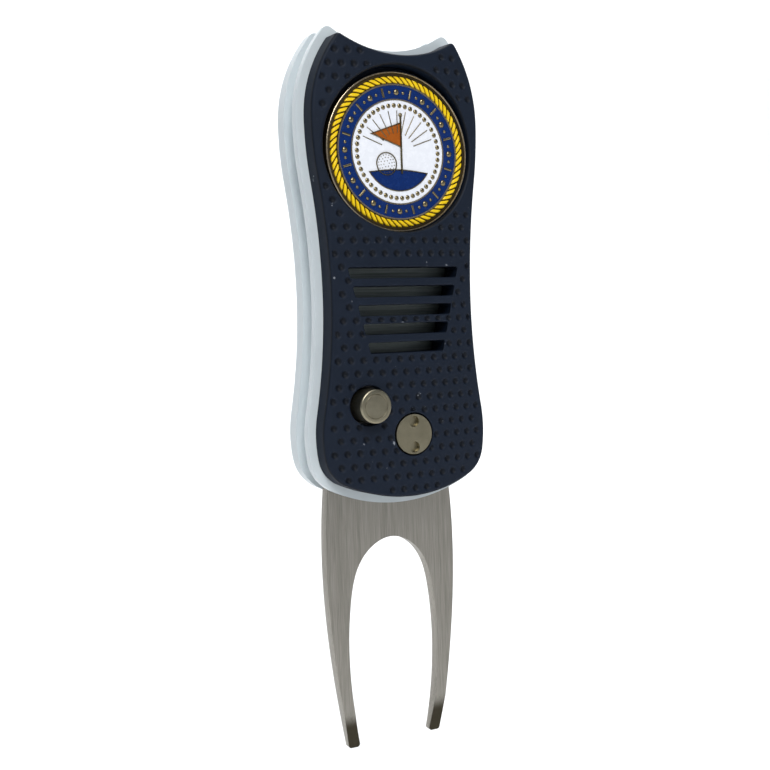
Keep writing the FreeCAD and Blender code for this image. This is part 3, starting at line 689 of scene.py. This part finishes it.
# %% [markdown]
# ## A struck coin
# The ball marker is die-struck metal with soft enamel in its cells. The coin is a profile turned
# about the marker's own axis: a round bright edge, a groove, thin walls between the enamels and
# a flat back. A helper turns any list of (radius, depth) pairs into a closed surface.

# %% Turned pieces
COIN_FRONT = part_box("marker_disc")[0][1]
TURN_STEPS = 192
TURN_CREASE = math.radians(20)


def ring_points(centre, radii, depths, steps):
    """Rings round a line along Y: (x + r cos a, y, z + r sin a) for each radius and angle."""
    angle = np.linspace(0, 2 * math.pi, steps, endpoint=False)
    reach = np.asarray(radii)[:, None]
    return at(centre[0] + reach * np.cos(angle), np.asarray(depths)[:, None],
              centre[1] + reach * np.sin(angle))


def turned(name, profile, centre, steps=TURN_STEPS):
    """A profile turned about the line through centre along Y. End radii of 0 close it, and a
    profile off the axis closes on itself as a ring."""
    middle = [pair for pair in profile if pair[0] > 0]
    points = ring_points(centre, *np.array(middle).T, steps)
    hollow = profile[0][0] > 0 and profile[-1][0] > 0
    faces = grid_faces(len(middle), steps, wrap_columns=True, wrap_rows=hollow).tolist()
    for end, ring in ((profile[0], 0), (profile[-1], len(middle) - 1)):
        if end[0] == 0:
            points = np.concatenate([points, [[centre[0], end[1], centre[1]]]])
            tip = len(points) - 1
            first = ring * steps
            faces += [(tip, first + k, first + (k + 1) % steps) for k in range(steps)]
    piece = add_mesh(name, points, faces)
    face_outwards(piece.data)
    piece.data.set_sharp_from_angle(angle=TURN_CREASE)
    return piece


def face_outwards(mesh):
    """Turn every closed island's faces so that their normals point out of it."""
    work = bmesh.new()
    work.from_mesh(mesh)
    bmesh.ops.recalc_face_normals(work, faces=work.faces)
    work.to_mesh(mesh)
    work.free()


def arc(radius, centre_r, centre_y, first, last, steps=9):
    """Points of a circle in the (radius, depth) plane between two angles in degrees."""
    turn = np.radians(np.linspace(first, last, steps))
    return [(centre_r + radius * math.cos(t), centre_y + radius * math.sin(t)) for t in turn]


ROPE_OUT, ROPE_IN = 11.86 * MM, 10.62 * MM
RING_OUT, RING_IN = 10.38 * MM, 8.28 * MM
FIELD_R = 8.06 * MM
CELL_FLOOR = COIN_FRONT + 0.40 * MM
ENAMEL_EDGE = COIN_FRONT + 0.09 * MM
WALL_TOP = COIN_FRONT + 0.02 * MM
ROPE_FLOOR = CELL_FLOOR - 0.12 * MM
EDGE_R = 0.16 * MM

coin_profile = [(0, CELL_FLOOR), (FIELD_R, CELL_FLOOR), (FIELD_R, WALL_TOP), (RING_IN, WALL_TOP),
                (RING_IN, CELL_FLOOR), (RING_OUT, CELL_FLOOR), (RING_OUT, WALL_TOP),
                (ROPE_IN, WALL_TOP), (ROPE_IN, ROPE_FLOOR),
                (ROPE_OUT, ROPE_FLOOR), (ROPE_OUT, COIN_FRONT + 0.16 * MM),
                (MARKER_R - 2.1 * EDGE_R, COIN_FRONT + 0.20 * MM)]
coin_profile += arc(EDGE_R, MARKER_R - EDGE_R, COIN_FRONT + EDGE_R, -110, 0)
coin_profile += [(MARKER_R, MARKER_BACK - EDGE_R), (MARKER_R - EDGE_R, MARKER_BACK),
                 (0, MARKER_BACK)]
coin = turned("coin", coin_profile, (0, MARKER_Z))


# %% [markdown]
# ## Enamel and a roped border
# Soft enamel shrinks as it cures, so each fill sags a little between its walls. The border is a
# twisted rope: strands that lean as they run outwards, puffed like cushions. One strand is a
# small patch over (u, v) in -1..1, as high as the root of (1 - u^4)(1 - v^4), bent round the
# coin.

# %% Enamel fills and rope
STRANDS = 66
STRAND_LEAN = math.radians(3.4)
STRAND_SHARE = 0.81
STRAND_GRID = 9
STRAND_LONG = 0.97
STRAND_PUFF = 0.34 * MM
STRAND_TAPER = 0.16
STRAND_RIM = CELL_FLOOR - 0.06 * MM
STRAND_BACK = CELL_FLOOR - 0.02 * MM
ENAMEL_SAG = 0.05 * MM
ENAMEL_RINGS = 9


def enamel(name, inner, outer):
    """A fill that sags as sag * (1 - u^2), with u from wall to wall, or from middle to wall."""
    u = np.linspace(-1 if inner else 0, 1, ENAMEL_RINGS)
    radii = inner + (outer - inner) * (u + 1) / 2 if inner else outer * u
    face = list(zip(radii, ENAMEL_EDGE + ENAMEL_SAG * (1 - u * u)))
    return turned(name, face + [(outer, CELL_FLOOR), (inner, CELL_FLOOR)], (0, MARKER_Z))


def cushion(u, v):
    """Puffed height from 0 at the rim of the square -1..1 to 1 in its middle."""
    return np.sqrt(np.clip((1 - np.abs(u) ** 4) * (1 - np.abs(v) ** 4), 0, 1))


def strand_faces():
    """Border of a strand's grid, and its faces: front grid, side quads and a fan at the back."""
    numbers = np.arange(STRAND_GRID ** 2).reshape(STRAND_GRID, STRAND_GRID)
    border = np.concatenate([numbers[0], numbers[1:, -1], numbers[-1, -2::-1],
                             numbers[-2:0:-1, 0]])
    low = numbers.size + np.arange(len(border))
    high = np.roll(low, -1)
    hub = np.full(len(border), low[-1] + 1)
    faces = grid_faces(STRAND_GRID, STRAND_GRID).tolist()
    faces += np.stack([border, np.roll(border, -1), high, low], -1).tolist()
    return border, faces + np.stack([low, high, hub], -1).tolist()


def make_rope():
    """All strands as one mesh; each leans by STRAND_LEAN from its inner to its outer end."""
    side = np.linspace(-1, 1, STRAND_GRID)
    u, v = [grid.ravel() for grid in np.meshgrid(side, side, indexing="ij")]
    pitch = 2 * math.pi / STRANDS
    lean = STRAND_LEAN * v + u * (1 - STRAND_TAPER * np.abs(v) ** 3) * pitch / 2 * STRAND_SHARE
    radius = (ROPE_OUT + ROPE_IN) / 2 + v * (ROPE_OUT - ROPE_IN) / 2 * STRAND_LONG
    depth = STRAND_RIM - STRAND_PUFF * cushion(u, v)
    border, faces = strand_faces()
    strands = Shell()
    for angle in pitch * np.arange(STRANDS)[:, None] + lean:
        front = at(radius * np.cos(angle), depth, MARKER_Z + radius * np.sin(angle))
        rear = front[border].copy()
        rear[:, 1] = STRAND_BACK
        strands.add(np.concatenate([front, rear, [rear.mean(0)]]), faces)
    rope = strands.piece("rope")
    face_outwards(rope.data)
    return rope


rope = make_rope()
ring_fill = enamel("ring_fill", RING_IN, RING_OUT)
field_fill = enamel("field_fill", 0, FIELD_R)


# %% [markdown]
# ## Raised metal work
# Everything struck above the enamel is one of two shapes: a bead, and a line with a rounded top
# that tapers to its ends. Beads ring the field, studs and bars fill the blue ring, rays spread
# behind a flagstick, and outlines edge the pennant, the ball and the green.

# %% Beads and lines
class Relief(Shell):
    """Small closed shapes in one mesh, at (x, z) measured from the marker's centre."""

    def bead(self, x, z, radius, base, height, rows=4, around=12):
        """A dome: rings of radius r cos t at height h sin t over the base."""
        turn = np.linspace(0, math.pi / 2, rows, endpoint=False)
        points = ring_points((x, MARKER_Z + z), radius * np.cos(turn),
                             base - height * np.sin(turn), around)
        points = np.concatenate([points, [[x, base - height, MARKER_Z + z]]])
        faces = grid_faces(rows, around, wrap_columns=True).tolist()
        top = (rows - 1) * around
        faces += [(top + k, top + (k + 1) % around, rows * around) for k in range(around)]
        faces.append(range(around - 1, -1, -1))
        self.add(points, faces)

    def line(self, spots, width, base, height, closed=False):
        """A ridge along a chain of spots, with a rounded top."""
        spots = np.asarray(spots, dtype=float)
        ahead = np.roll(spots, -1, axis=0) - spots
        behind = spots - np.roll(spots, 1, axis=0)
        if not closed:
            ahead[-1] = behind[-1]
            behind[0] = ahead[0]
        way = ahead / np.hypot(*ahead.T)[:, None] + behind / np.hypot(*behind.T)[:, None]
        way /= np.hypot(*way.T)[:, None]
        cosine = np.clip((way * ahead).sum(1) / np.hypot(*ahead.T), 0.5, 1)
        aside = np.stack([-way[:, 1], way[:, 0]], -1) / cosine[:, None]
        half = [(1, 0), (0.86, 0.62), (0.4, 1)]
        section = np.array(half + [(-out, up) for out, up in reversed(half)])
        edge = spots[:, None] + section[:, :1] * width / 2 * aside[:, None]
        points = at(edge[..., 0], base - section[:, 1] * height, MARKER_Z + edge[..., 1])
        faces = grid_faces(len(spots), len(section), wrap_columns=True, wrap_rows=closed).tolist()
        if not closed:
            faces.append(range(len(section)))
            faces.append(range(len(points) - 1, len(points) - 1 - len(section), -1))
        self.add(points, faces)


def ring_spots(radius, count, phase=0.0):
    """Spots evenly spaced on a circle, with their angles."""
    angle = phase + np.arange(count) * 2 * math.pi / count
    return np.stack([radius * np.cos(angle), radius * np.sin(angle)], -1), angle


FIELD_BASE = ENAMEL_EDGE + 0.07 * MM
PATCH_FOOT = CELL_FLOOR - 0.05 * MM
BEADS = 46
BEAD_RING_R = 7.25 * MM
RING_MARKS = 48
RING_MID = (RING_OUT + RING_IN) / 2
RAY_DEGREES = range(20, 161, 14)
RAY_IN, RAY_OUT = 3.0 * MM, 6.5 * MM
BALL_AT = np.array([-2.1, -1.9]) * MM
BALL_R = 1.75 * MM
DIMPLE_RINGS = ((0.5 * MM, 6), (1.0 * MM, 12), (1.4 * MM, 18))
STICK_X, STICK_LOW, STICK_TOP = 0.6 * MM, -3.4 * MM, 5.7 * MM
PENNANT = np.array([(STICK_X, 4.6 * MM), (-4.7 * MM, 2.7 * MM), (STICK_X, 0.8 * MM)])
GREEN_R, GREEN_ROLL = 6.1 * MM, 0.45 * MM
GREEN_FROM, GREEN_TO = math.radians(212), math.radians(328)
RELIEF_CREASE = math.radians(50)


def green_outline():
    """The putting green: the lower part of a circle under a gently rolling edge."""
    angle = np.linspace(GREEN_FROM, GREEN_TO, 30)
    low = np.stack([GREEN_R * np.cos(angle), GREEN_R * np.sin(angle)], -1)
    x = np.linspace(low[-1, 0], low[0, 0], 22)[1:-1]
    roll = low[0, 1] + GREEN_ROLL * np.sin((x - low[0, 0]) / (low[-1, 0] - low[0, 0]) * math.pi)
    return np.concatenate([low, np.stack([x, roll], -1)])


def make_relief():
    """Every bead and line of the marker, as one piece."""
    relief = Relief()
    for spot in ring_spots(BEAD_RING_R, BEADS)[0]:
        relief.bead(*spot, 0.40 * MM, FIELD_BASE, 0.22 * MM)
    for number, (spot, angle) in enumerate(zip(*ring_spots(RING_MID, RING_MARKS))):
        way = np.array([math.cos(angle), math.sin(angle)])
        if number % 4 == 0:
            relief.bead(*spot, 0.50 * MM, FIELD_BASE, 0.28 * MM)
        elif number % 4 == 2:
            relief.line([spot - 0.7 * MM * way, spot + 0.7 * MM * way], 0.40 * MM, FIELD_BASE,
                        0.2 * MM)
        else:
            relief.bead(*spot, 0.27 * MM, FIELD_BASE, 0.2 * MM, rows=3)
    for angle in np.radians(RAY_DEGREES):
        way = np.array([math.cos(angle), math.sin(angle)])
        relief.line([RAY_IN * way, RAY_OUT * way], 0.17 * MM, FIELD_BASE, 0.12 * MM)
    relief.line([(STICK_X, STICK_LOW), (STICK_X, STICK_TOP)], 0.34 * MM, FIELD_BASE, 0.26 * MM)
    relief.bead(STICK_X, STICK_TOP + 0.1 * MM, 0.36 * MM, FIELD_BASE, 0.3 * MM)
    relief.line(PENNANT, 0.2 * MM, FIELD_BASE, 0.22 * MM, closed=True)
    relief.line(green_outline(), 0.2 * MM, FIELD_BASE, 0.18 * MM, closed=True)
    relief.line(ring_spots(BALL_R, 40)[0] + BALL_AT, 0.2 * MM, FIELD_BASE, 0.2 * MM, closed=True)
    for reach, count in DIMPLE_RINGS:
        for spot in ring_spots(reach, count, 0.2)[0] + BALL_AT:
            relief.bead(*spot, 0.11 * MM, FIELD_BASE, 0.1 * MM, rows=2, around=6)
    piece = relief.piece("relief")
    face_outwards(piece.data)
    piece.data.set_sharp_from_angle(angle=RELIEF_CREASE)
    return piece


def patch(name, outline, rise):
    """A flat-topped fill inside a closed chain of spots, standing on the field."""
    count = len(outline)
    x, z = outline.T
    points = at(x, np.array([[FIELD_BASE - rise], [PATCH_FOOT]]), MARKER_Z + z)
    faces = [range(count), range(2 * count - 1, count - 1, -1)]
    faces += grid_faces(2, count, wrap_columns=True).tolist()
    piece = add_mesh(name, points, faces, smooth=False)
    face_outwards(piece.data)
    return piece


relief = make_relief()
pennant = patch("pennant", PENNANT, 0.06 * MM)
green = patch("green", green_outline(), 0.05 * MM)
for piece in (coin, rope, ring_fill, field_fill, relief, pennant, green):
    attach(piece, "marker")
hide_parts("marker_disc")
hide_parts("marker_border_enamel")
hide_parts("marker_ring_enamel")
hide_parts("marker_field_enamel")


# %% [markdown]
# ## The lock button
# The button is turned from bar: a flat top with a shallow ring groove, a bevel, and a plain side
# that runs down into its collar. Turning leaves fine rings, which come later as a finish.

# %% Button cap
BUTTON_FRONT, BUTTON_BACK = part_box("button_cap")[0][1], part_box("button_cap")[1][1] - 0.02 * MM
BEVEL = 0.34 * MM
GROOVE_R = 0.70 * BUTTON_R
GROOVE_DEEP = 0.07 * MM
STEM_HOLE_R = 1.0 * MM

button_profile = [(0, BUTTON_FRONT), (GROOVE_R - GROOVE_DEEP, BUTTON_FRONT),
                  (GROOVE_R, BUTTON_FRONT + GROOVE_DEEP),
                  (GROOVE_R + GROOVE_DEEP, BUTTON_FRONT), (BUTTON_R - BEVEL, BUTTON_FRONT)]
button_profile += arc(BEVEL, BUTTON_R - BEVEL, BUTTON_FRONT + BEVEL, -72, 0, 6)
button_profile += [(BUTTON_R, BUTTON_BACK), (STEM_HOLE_R, BUTTON_BACK),
                   (STEM_HOLE_R, COVER_FRONT), (0, COVER_FRONT)]
button = turned("button", button_profile, (BUTTON_X, BUTTON_Z), 96)
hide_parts("button_cap")
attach(button, "button")


# %% [markdown]
# ## Springs that follow their joints
# Two springs work inside the handle. Each is a round wire wound on a cylinder, so its path is an
# angle and a depth that run side by side.
# The fork's spring has one leg in the frame and one in the fork, and the second is its own piece
# that turns with the fork.

# %% Spring wire
WIRE_SIDES = 10
SPRING_TURNS = 2.5


def wound(name, centre, coil_r, wire_r, angles, depths):
    """A wire along (x + R cos a, y, z + R sin a), with rings made of its outward direction and
    the direction square to that and to the path."""
    x, z = centre
    angles, depths = np.asarray(angles), np.asarray(depths)
    outward = np.stack([np.cos(angles), np.zeros_like(angles), np.sin(angles)], -1)
    spots = np.array([x, 0, z]) + outward * coil_r
    spots[:, 1] = depths
    way = np.gradient(spots, axis=0)
    across = np.cross(way, outward)
    across /= np.linalg.norm(across, axis=1)[:, None]
    turn = np.linspace(0, 2 * math.pi, WIRE_SIDES, endpoint=False)[None, :, None]
    rings = (spots[:, None] + wire_r * (np.cos(turn) * outward[:, None]
                                        + np.sin(turn) * across[:, None]))
    faces = grid_faces(len(spots), WIRE_SIDES, wrap_columns=True).tolist()
    first_end = np.arange(WIRE_SIDES)
    faces += [first_end, (len(spots) - 1) * WIRE_SIDES + first_end[::-1]]
    piece = add_mesh(name, rings.reshape(-1, 3), faces)
    face_outwards(piece.data)
    return piece


SPRING_R, SPRING_WIRE = 1.75 * MM, 0.25 * MM
SPRING_SEAT = -2.2 * MM
steps = np.linspace(0, 1, 100)
press_spring = wound("press_spring", (BUTTON_X, BUTTON_Z), SPRING_R, SPRING_WIRE,
                     2 * math.pi * SPRING_TURNS * steps,
                     BUTTON_BACK + SPRING_WIRE
                     + (SPRING_SEAT - BUTTON_BACK - 2 * SPRING_WIRE) * steps)
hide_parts("button_spring")
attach(press_spring, "handle")
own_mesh(press_spring)

TORSION_R, TORSION_WIRE = 4.0 * MM, 0.3 * MM
COIL_LOW, COIL_HIGH = -2.75 * MM, -1.45 * MM
FIXED_END, MOVING_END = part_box("fork_spring")[0][1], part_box("fork_spring")[1][1]
LEG_STEPS = 6
up = math.pi / 2
down = up + 2 * math.pi * SPRING_TURNS
swing_spring = wound("swing_spring", (PIVOT_X, PIVOT_Z), TORSION_R, TORSION_WIRE,
                     np.concatenate([[up] * LEG_STEPS, up + (down - up) * steps]),
                     np.concatenate([np.linspace(FIXED_END, COIL_LOW, LEG_STEPS, endpoint=False),
                                     COIL_LOW + (COIL_HIGH - COIL_LOW) * steps]))
swing_leg = wound("swing_leg", (PIVOT_X, PIVOT_Z), TORSION_R, TORSION_WIRE * 0.98, [down] * 4,
                  np.linspace(COIL_HIGH, MOVING_END, 4))
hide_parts("fork_spring")
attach(swing_spring, "handle")
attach(swing_leg, "fork")


# %% [markdown]
# ## Plastics
# The cover is soft-touch navy: a matt skin with a fine grain, faint clouds where hands polish it,
# a few pale scuffs, and shade painted dark into its dimples. The shells are satin white, with the
# slight mottle of moulded plastic.

# %% Plastic finishes
def soft_touch():
    """Navy with clouds 9 mm wide, grain 0.12 mm wide, and scuffs where two noises both peak.

    Shade is painted dark into the dimples: the depth below the dome is y - crown - (R - sqrt(R^2 -
    x^2)).
    """
    finish = Finish("cover_soft_touch", Specular_IOR_Level=0.17)
    cloud = finish.noise(110.0, 4.0, 0.6)
    grain = finish.noise(8000.0, 2.0)
    scuff = (finish.step(finish.noise(700.0, 2.0), 0.72, 0.76)
             * finish.step(finish.noise(2600.0, 2.0), 0.5, 0.6))
    x, y, _ = finish.axes()
    sunk = y - COVER_FRONT - (DOME_R - (DOME_R ** 2 - x * x) ** 0.5)
    # painted shade: the colour goes towards near-black where the face lies 0.04 to 0.6 mm below
    # the dome, in the dimples and round the edges
    painted_dimple_shade = finish.step(sunk, 0.04 * MM, 0.26 * MM) * (1.0 - finish.step(sunk, 0.42 * MM, 0.6 * MM))
    wear_and_painted_shade = finish.mix(cloud, rgb(12, 21, 34), rgb(18, 28, 43))
    wear_and_painted_shade = finish.mix(painted_dimple_shade * 0.75, wear_and_painted_shade, rgb(5, 8, 14))
    wear_and_painted_shade = finish.mix(scuff * 0.5, wear_and_painted_shade, rgb(170, 176, 184))
    return finish.surface(wear_and_painted_shade, 0.44 + cloud * 0.16 + grain * 0.06, grain, 0.012 * MM, 0.6)


def satin_plastic(name, dark, light, rough):
    """Moulded plastic: mottle between two close colours, and a fine spark-eroded grain."""
    finish = Finish(name)
    mottle = finish.noise(240.0, 5.0, 0.62)
    grain = finish.noise(5000.0, 2.0)
    return finish.surface(finish.mix(mottle, dark, light), rough + mottle * 0.12 + grain * 0.05,
                          grain, 0.006 * MM)


# %% [markdown]
# ## Metals
# Brushing leaves long fine lines one way: noise squeezed across the stroke and stretched along
# it. Turning leaves rings: noise of the distance from the lathe's axis. Struck metal keeps dark
# patina where polishing can't reach, so its depth below the coin's face sets how dark it is.

# %% Metal finishes
FORK_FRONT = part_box("fork")[0][1]
TIP_LONG, TIP_DEEP = 6.0 * MM, 0.8 * MM


def brushed(name, dark, light, across, along, rough=0.30, stroke="Z", tips=None):
    """Brush lines along one axis, with wider bands below them.

    The fork's tips are ground to a bevel that starts TIP_LONG up, TIP_DEEP at its end, and the
    grinding leaves it dark: where y < front + deep * (1 - z / long).
    """
    finish = Finish(name, Metallic=1.0)
    keep = {"X": (along, across, across), "Z": (across, across, along)}[stroke]
    fine = finish.noise(1.0, 3.0, 0.6, where=finish.stretched(keep))
    wide = finish.noise(1.0, 2.0, 0.5, where=finish.stretched([k * 0.12 for k in keep]))
    tone = fine * 0.75 + wide * 0.25
    colour = finish.mix(finish.step(tone, 0.32, 0.68), dark, light)
    if tips:
        _, y, z = finish.axes()
        above = y - FORK_FRONT - TIP_DEEP * (1.0 - z / TIP_LONG)
        ground = ((1.0 - finish.step(z, TIP_LONG - 2.5 * MM, TIP_LONG + 0.6 * MM))
                  * (1.0 - finish.step(above, 0.08 * MM, 0.2 * MM)))
        colour = finish.mix(ground, colour, tips)
    return finish.surface(colour, rough + fine * 0.16 + wide * 0.06, fine, 0.006 * MM, 0.55)


def lathe_turned(name, centre, dark, light):
    """Rings about a line along Y through centre: noise over sqrt(x^2 + z^2)."""
    finish = Finish(name, Metallic=1.0)
    x, _, z = finish.axes()
    x, z = x - centre[0], z - centre[1]
    reach = (x * x + z * z) ** 0.5
    ring = finish.node("TexNoise", {"noise_dimensions": "1D"}, W=reach, Scale=14000.0, Detail=3.0)
    cloud = finish.noise(420.0, 4.0, 0.6)
    return finish.surface(finish.mix(cloud, dark, light), 0.22 + ring * 0.14 + cloud * 0.12,
                          ring, 0.006 * MM)


def struck_metal(name, bright, dark):
    """Bright on top, dark brown in the grooves: a smooth step over depth."""
    finish = Finish(name, Metallic=1.0)
    depth = finish.axes()[1] - COIN_FRONT
    patina = finish.step(depth + finish.noise(1500.0, 3.0) * 0.05 * MM, 0.02 * MM, 0.20 * MM)
    roughness = 0.20 + patina * 0.25 + finish.noise(2200.0, 3.0) * 0.12
    return finish.surface(finish.mix(patina, bright, dark), roughness,
                          finish.noise(4000.0, 3.0), 0.006 * MM)


def soft_enamel(name, dark, light, rough=0.22, edge=None):
    """Glossy fill: faint clouds, tiny pits, and a darker tint low down at the walls."""
    finish = Finish(name, Coat_Roughness=0.12, Specular_IOR_Level=0.35)
    cloud = finish.noise(900.0, 4.0, 0.6)
    pits = finish.step(finish.noise(5200.0, 2.0), 0.69, 0.74)
    colour = finish.mix(cloud, dark, light)
    if edge:
        depth = finish.axes()[1] - COIN_FRONT
        colour = finish.mix(finish.step(depth, 0.10 * MM, 0.34 * MM), colour, edge)
    finish.vary("Coat Weight", 0.12 + cloud * 0.1)
    return finish.surface(finish.mix(pits * 0.3, colour, dark), rough + cloud * 0.10,
                          cloud + pits * -0.4, 0.012 * MM)


def paper():
    """The sweep: near-white card with a faint tooth."""
    finish = Finish("sweep_card", Specular_IOR_Level=0.1)
    tooth = finish.noise(60.0, 3.0)
    finish.vary("Base Color", finish.mix(tooth, (0.90, 0.90, 0.90, 1), (0.92, 0.92, 0.92, 1)))
    finish.vary("Roughness", 0.85 + tooth * 0.1)
    return finish.material


# %% [markdown]
# ## Dressing every part
# Each CAD part and each new piece takes one finish. Most of the CAD parts that show also get a
# Weld and a Bevel modifier, since real edges are never perfectly sharp and catch a thin line of
# light. The rear shell doesn't, because its outer edge is already round.

# %% Assign finishes and soften edges
COVER = soft_touch()
WHITE = satin_plastic("shell_white", rgb(192, 201, 204), rgb(207, 215, 218), 0.30)
BLACK = satin_plastic("collar_black", rgb(20, 20, 22), rgb(34, 34, 37), 0.35)
FORK = brushed("fork_steel", rgb(125, 122, 114), rgb(160, 156, 148), 14000.0, 160.0,
               tips=rgb(58, 54, 44))
PLATE = brushed("plate_steel", rgb(88, 94, 92), rgb(122, 128, 126), 5000.0, 90.0, 0.34, "X")
PLAIN = brushed("plain_steel", rgb(150, 150, 150), rgb(196, 196, 196), 5000.0, 900.0)
SPRING = brushed("spring_steel", rgb(120, 120, 124), rgb(168, 168, 172), 7000.0, 2500.0)
BRASS = brushed("brass", rgb(190, 150, 80), rgb(226, 190, 112), 4000.0, 2000.0)
MAGNET = brushed("magnet_nickel", rgb(190, 190, 190), rgb(222, 222, 222), 2500.0, 2500.0, 0.15)
BUTTON_NICKEL = lathe_turned("button_nickel", (BUTTON_X, BUTTON_Z), rgb(118, 112, 94),
                             rgb(158, 152, 132))
PIVOT_NICKEL = lathe_turned("pivot_nickel", (PIVOT_X, PIVOT_Z), rgb(118, 112, 92),
                            rgb(158, 151, 129))
STRUCK = struck_metal("marker_metal", rgb(190, 174, 148), rgb(70, 60, 40))
RELIEF = struck_metal("relief_metal", rgb(134, 122, 94), rgb(80, 70, 48))
YELLOW = soft_enamel("enamel_yellow", rgb(232, 192, 4), rgb(240, 206, 14), 0.24,
                     rgb(150, 100, 0))
BLUE = soft_enamel("enamel_blue", rgb(0, 30, 84), rgb(0, 42, 106))
SNOW = soft_enamel("enamel_white", rgb(222, 225, 232), rgb(238, 240, 245))
RUST = soft_enamel("enamel_rust", rgb(140, 68, 10), rgb(176, 94, 18))

CAD_FINISH = ((WHITE, "front_frame rear_shell"), (PLATE, "grille_plate"), (FORK, "fork"),
              (PIVOT_NICKEL, "pivot_barrel pivot_screw"), (BLACK, "button_collar"),
              (PLAIN, "front_washer back_washer magnet_cup body_screws lock_plunger"),
              (MAGNET, "magnet"), (BRASS, "threaded_inserts"), (COVER, "front_cover"),
              (SPRING, "fork_spring button_spring plunger_clip"),
              (BUTTON_NICKEL, "button_cap"), (STRUCK, "marker_disc"),
              (YELLOW, "marker_border_enamel"), (BLUE, "marker_ring_enamel"),
              (SNOW, "marker_field_enamel"))
EDGES = {"front_frame": 0.32 * MM, "fork": 0.13 * MM, "pivot_barrel": 0.16 * MM,
         "pivot_screw": 0.14 * MM, "body_screws": 0.08 * MM, "grille_plate": 0.06 * MM,
         "button_collar": 0.08 * MM}
PIECE_FINISH = ((cover, COVER), (coin, STRUCK), (relief, RELIEF), (rope, YELLOW),
                (ring_fill, BLUE), (green, BLUE), (field_fill, SNOW), (pennant, RUST),
                (button, BUTTON_NICKEL), (press_spring, SPRING), (swing_spring, SPRING),
                (swing_leg, SPRING), (sweep, paper()))


def dress(thing, finish):
    """Give a part or piece its one finish."""
    thing.data.materials.clear()
    thing.data.materials.append(finish)


def soften(thing, width):
    """Weld the split corners of the CAD mesh, then round its sharp edges."""
    weld = thing.modifiers.new("weld", "WELD")
    weld.merge_threshold = 0.0005 * MM
    bevel = thing.modifiers.new("edges", "BEVEL")
    bevel.width = width
    bevel.segments = 3
    bevel.limit_method = "ANGLE"
    bevel.angle_limit = math.radians(35)


for finish, names in CAD_FINISH:
    for name in names.split():
        dress(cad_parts[name], finish)
for piece, finish in PIECE_FINISH:
    dress(piece, finish)
for name, width in EDGES.items():
    soften(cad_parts[name], width)
print("dressed:", len(PIECE_FINISH), "new pieces, and the CAD with", len(CAD_FINISH), "finishes")


# %% [markdown]
# ## Ready to render
# The world adds a dim, cool fill.

# %% World and finish
world = bpy.data.worlds.new("studio")
bpy.context.scene.world = world
world.use_nodes = True
world.node_tree.nodes["Background"].inputs[0].default_value = (0.80, 0.88, 1.0, 1.0)
world.node_tree.nodes["Background"].inputs[1].default_value = 0.22
bpy.context.scene.view_settings.view_transform = "Standard"
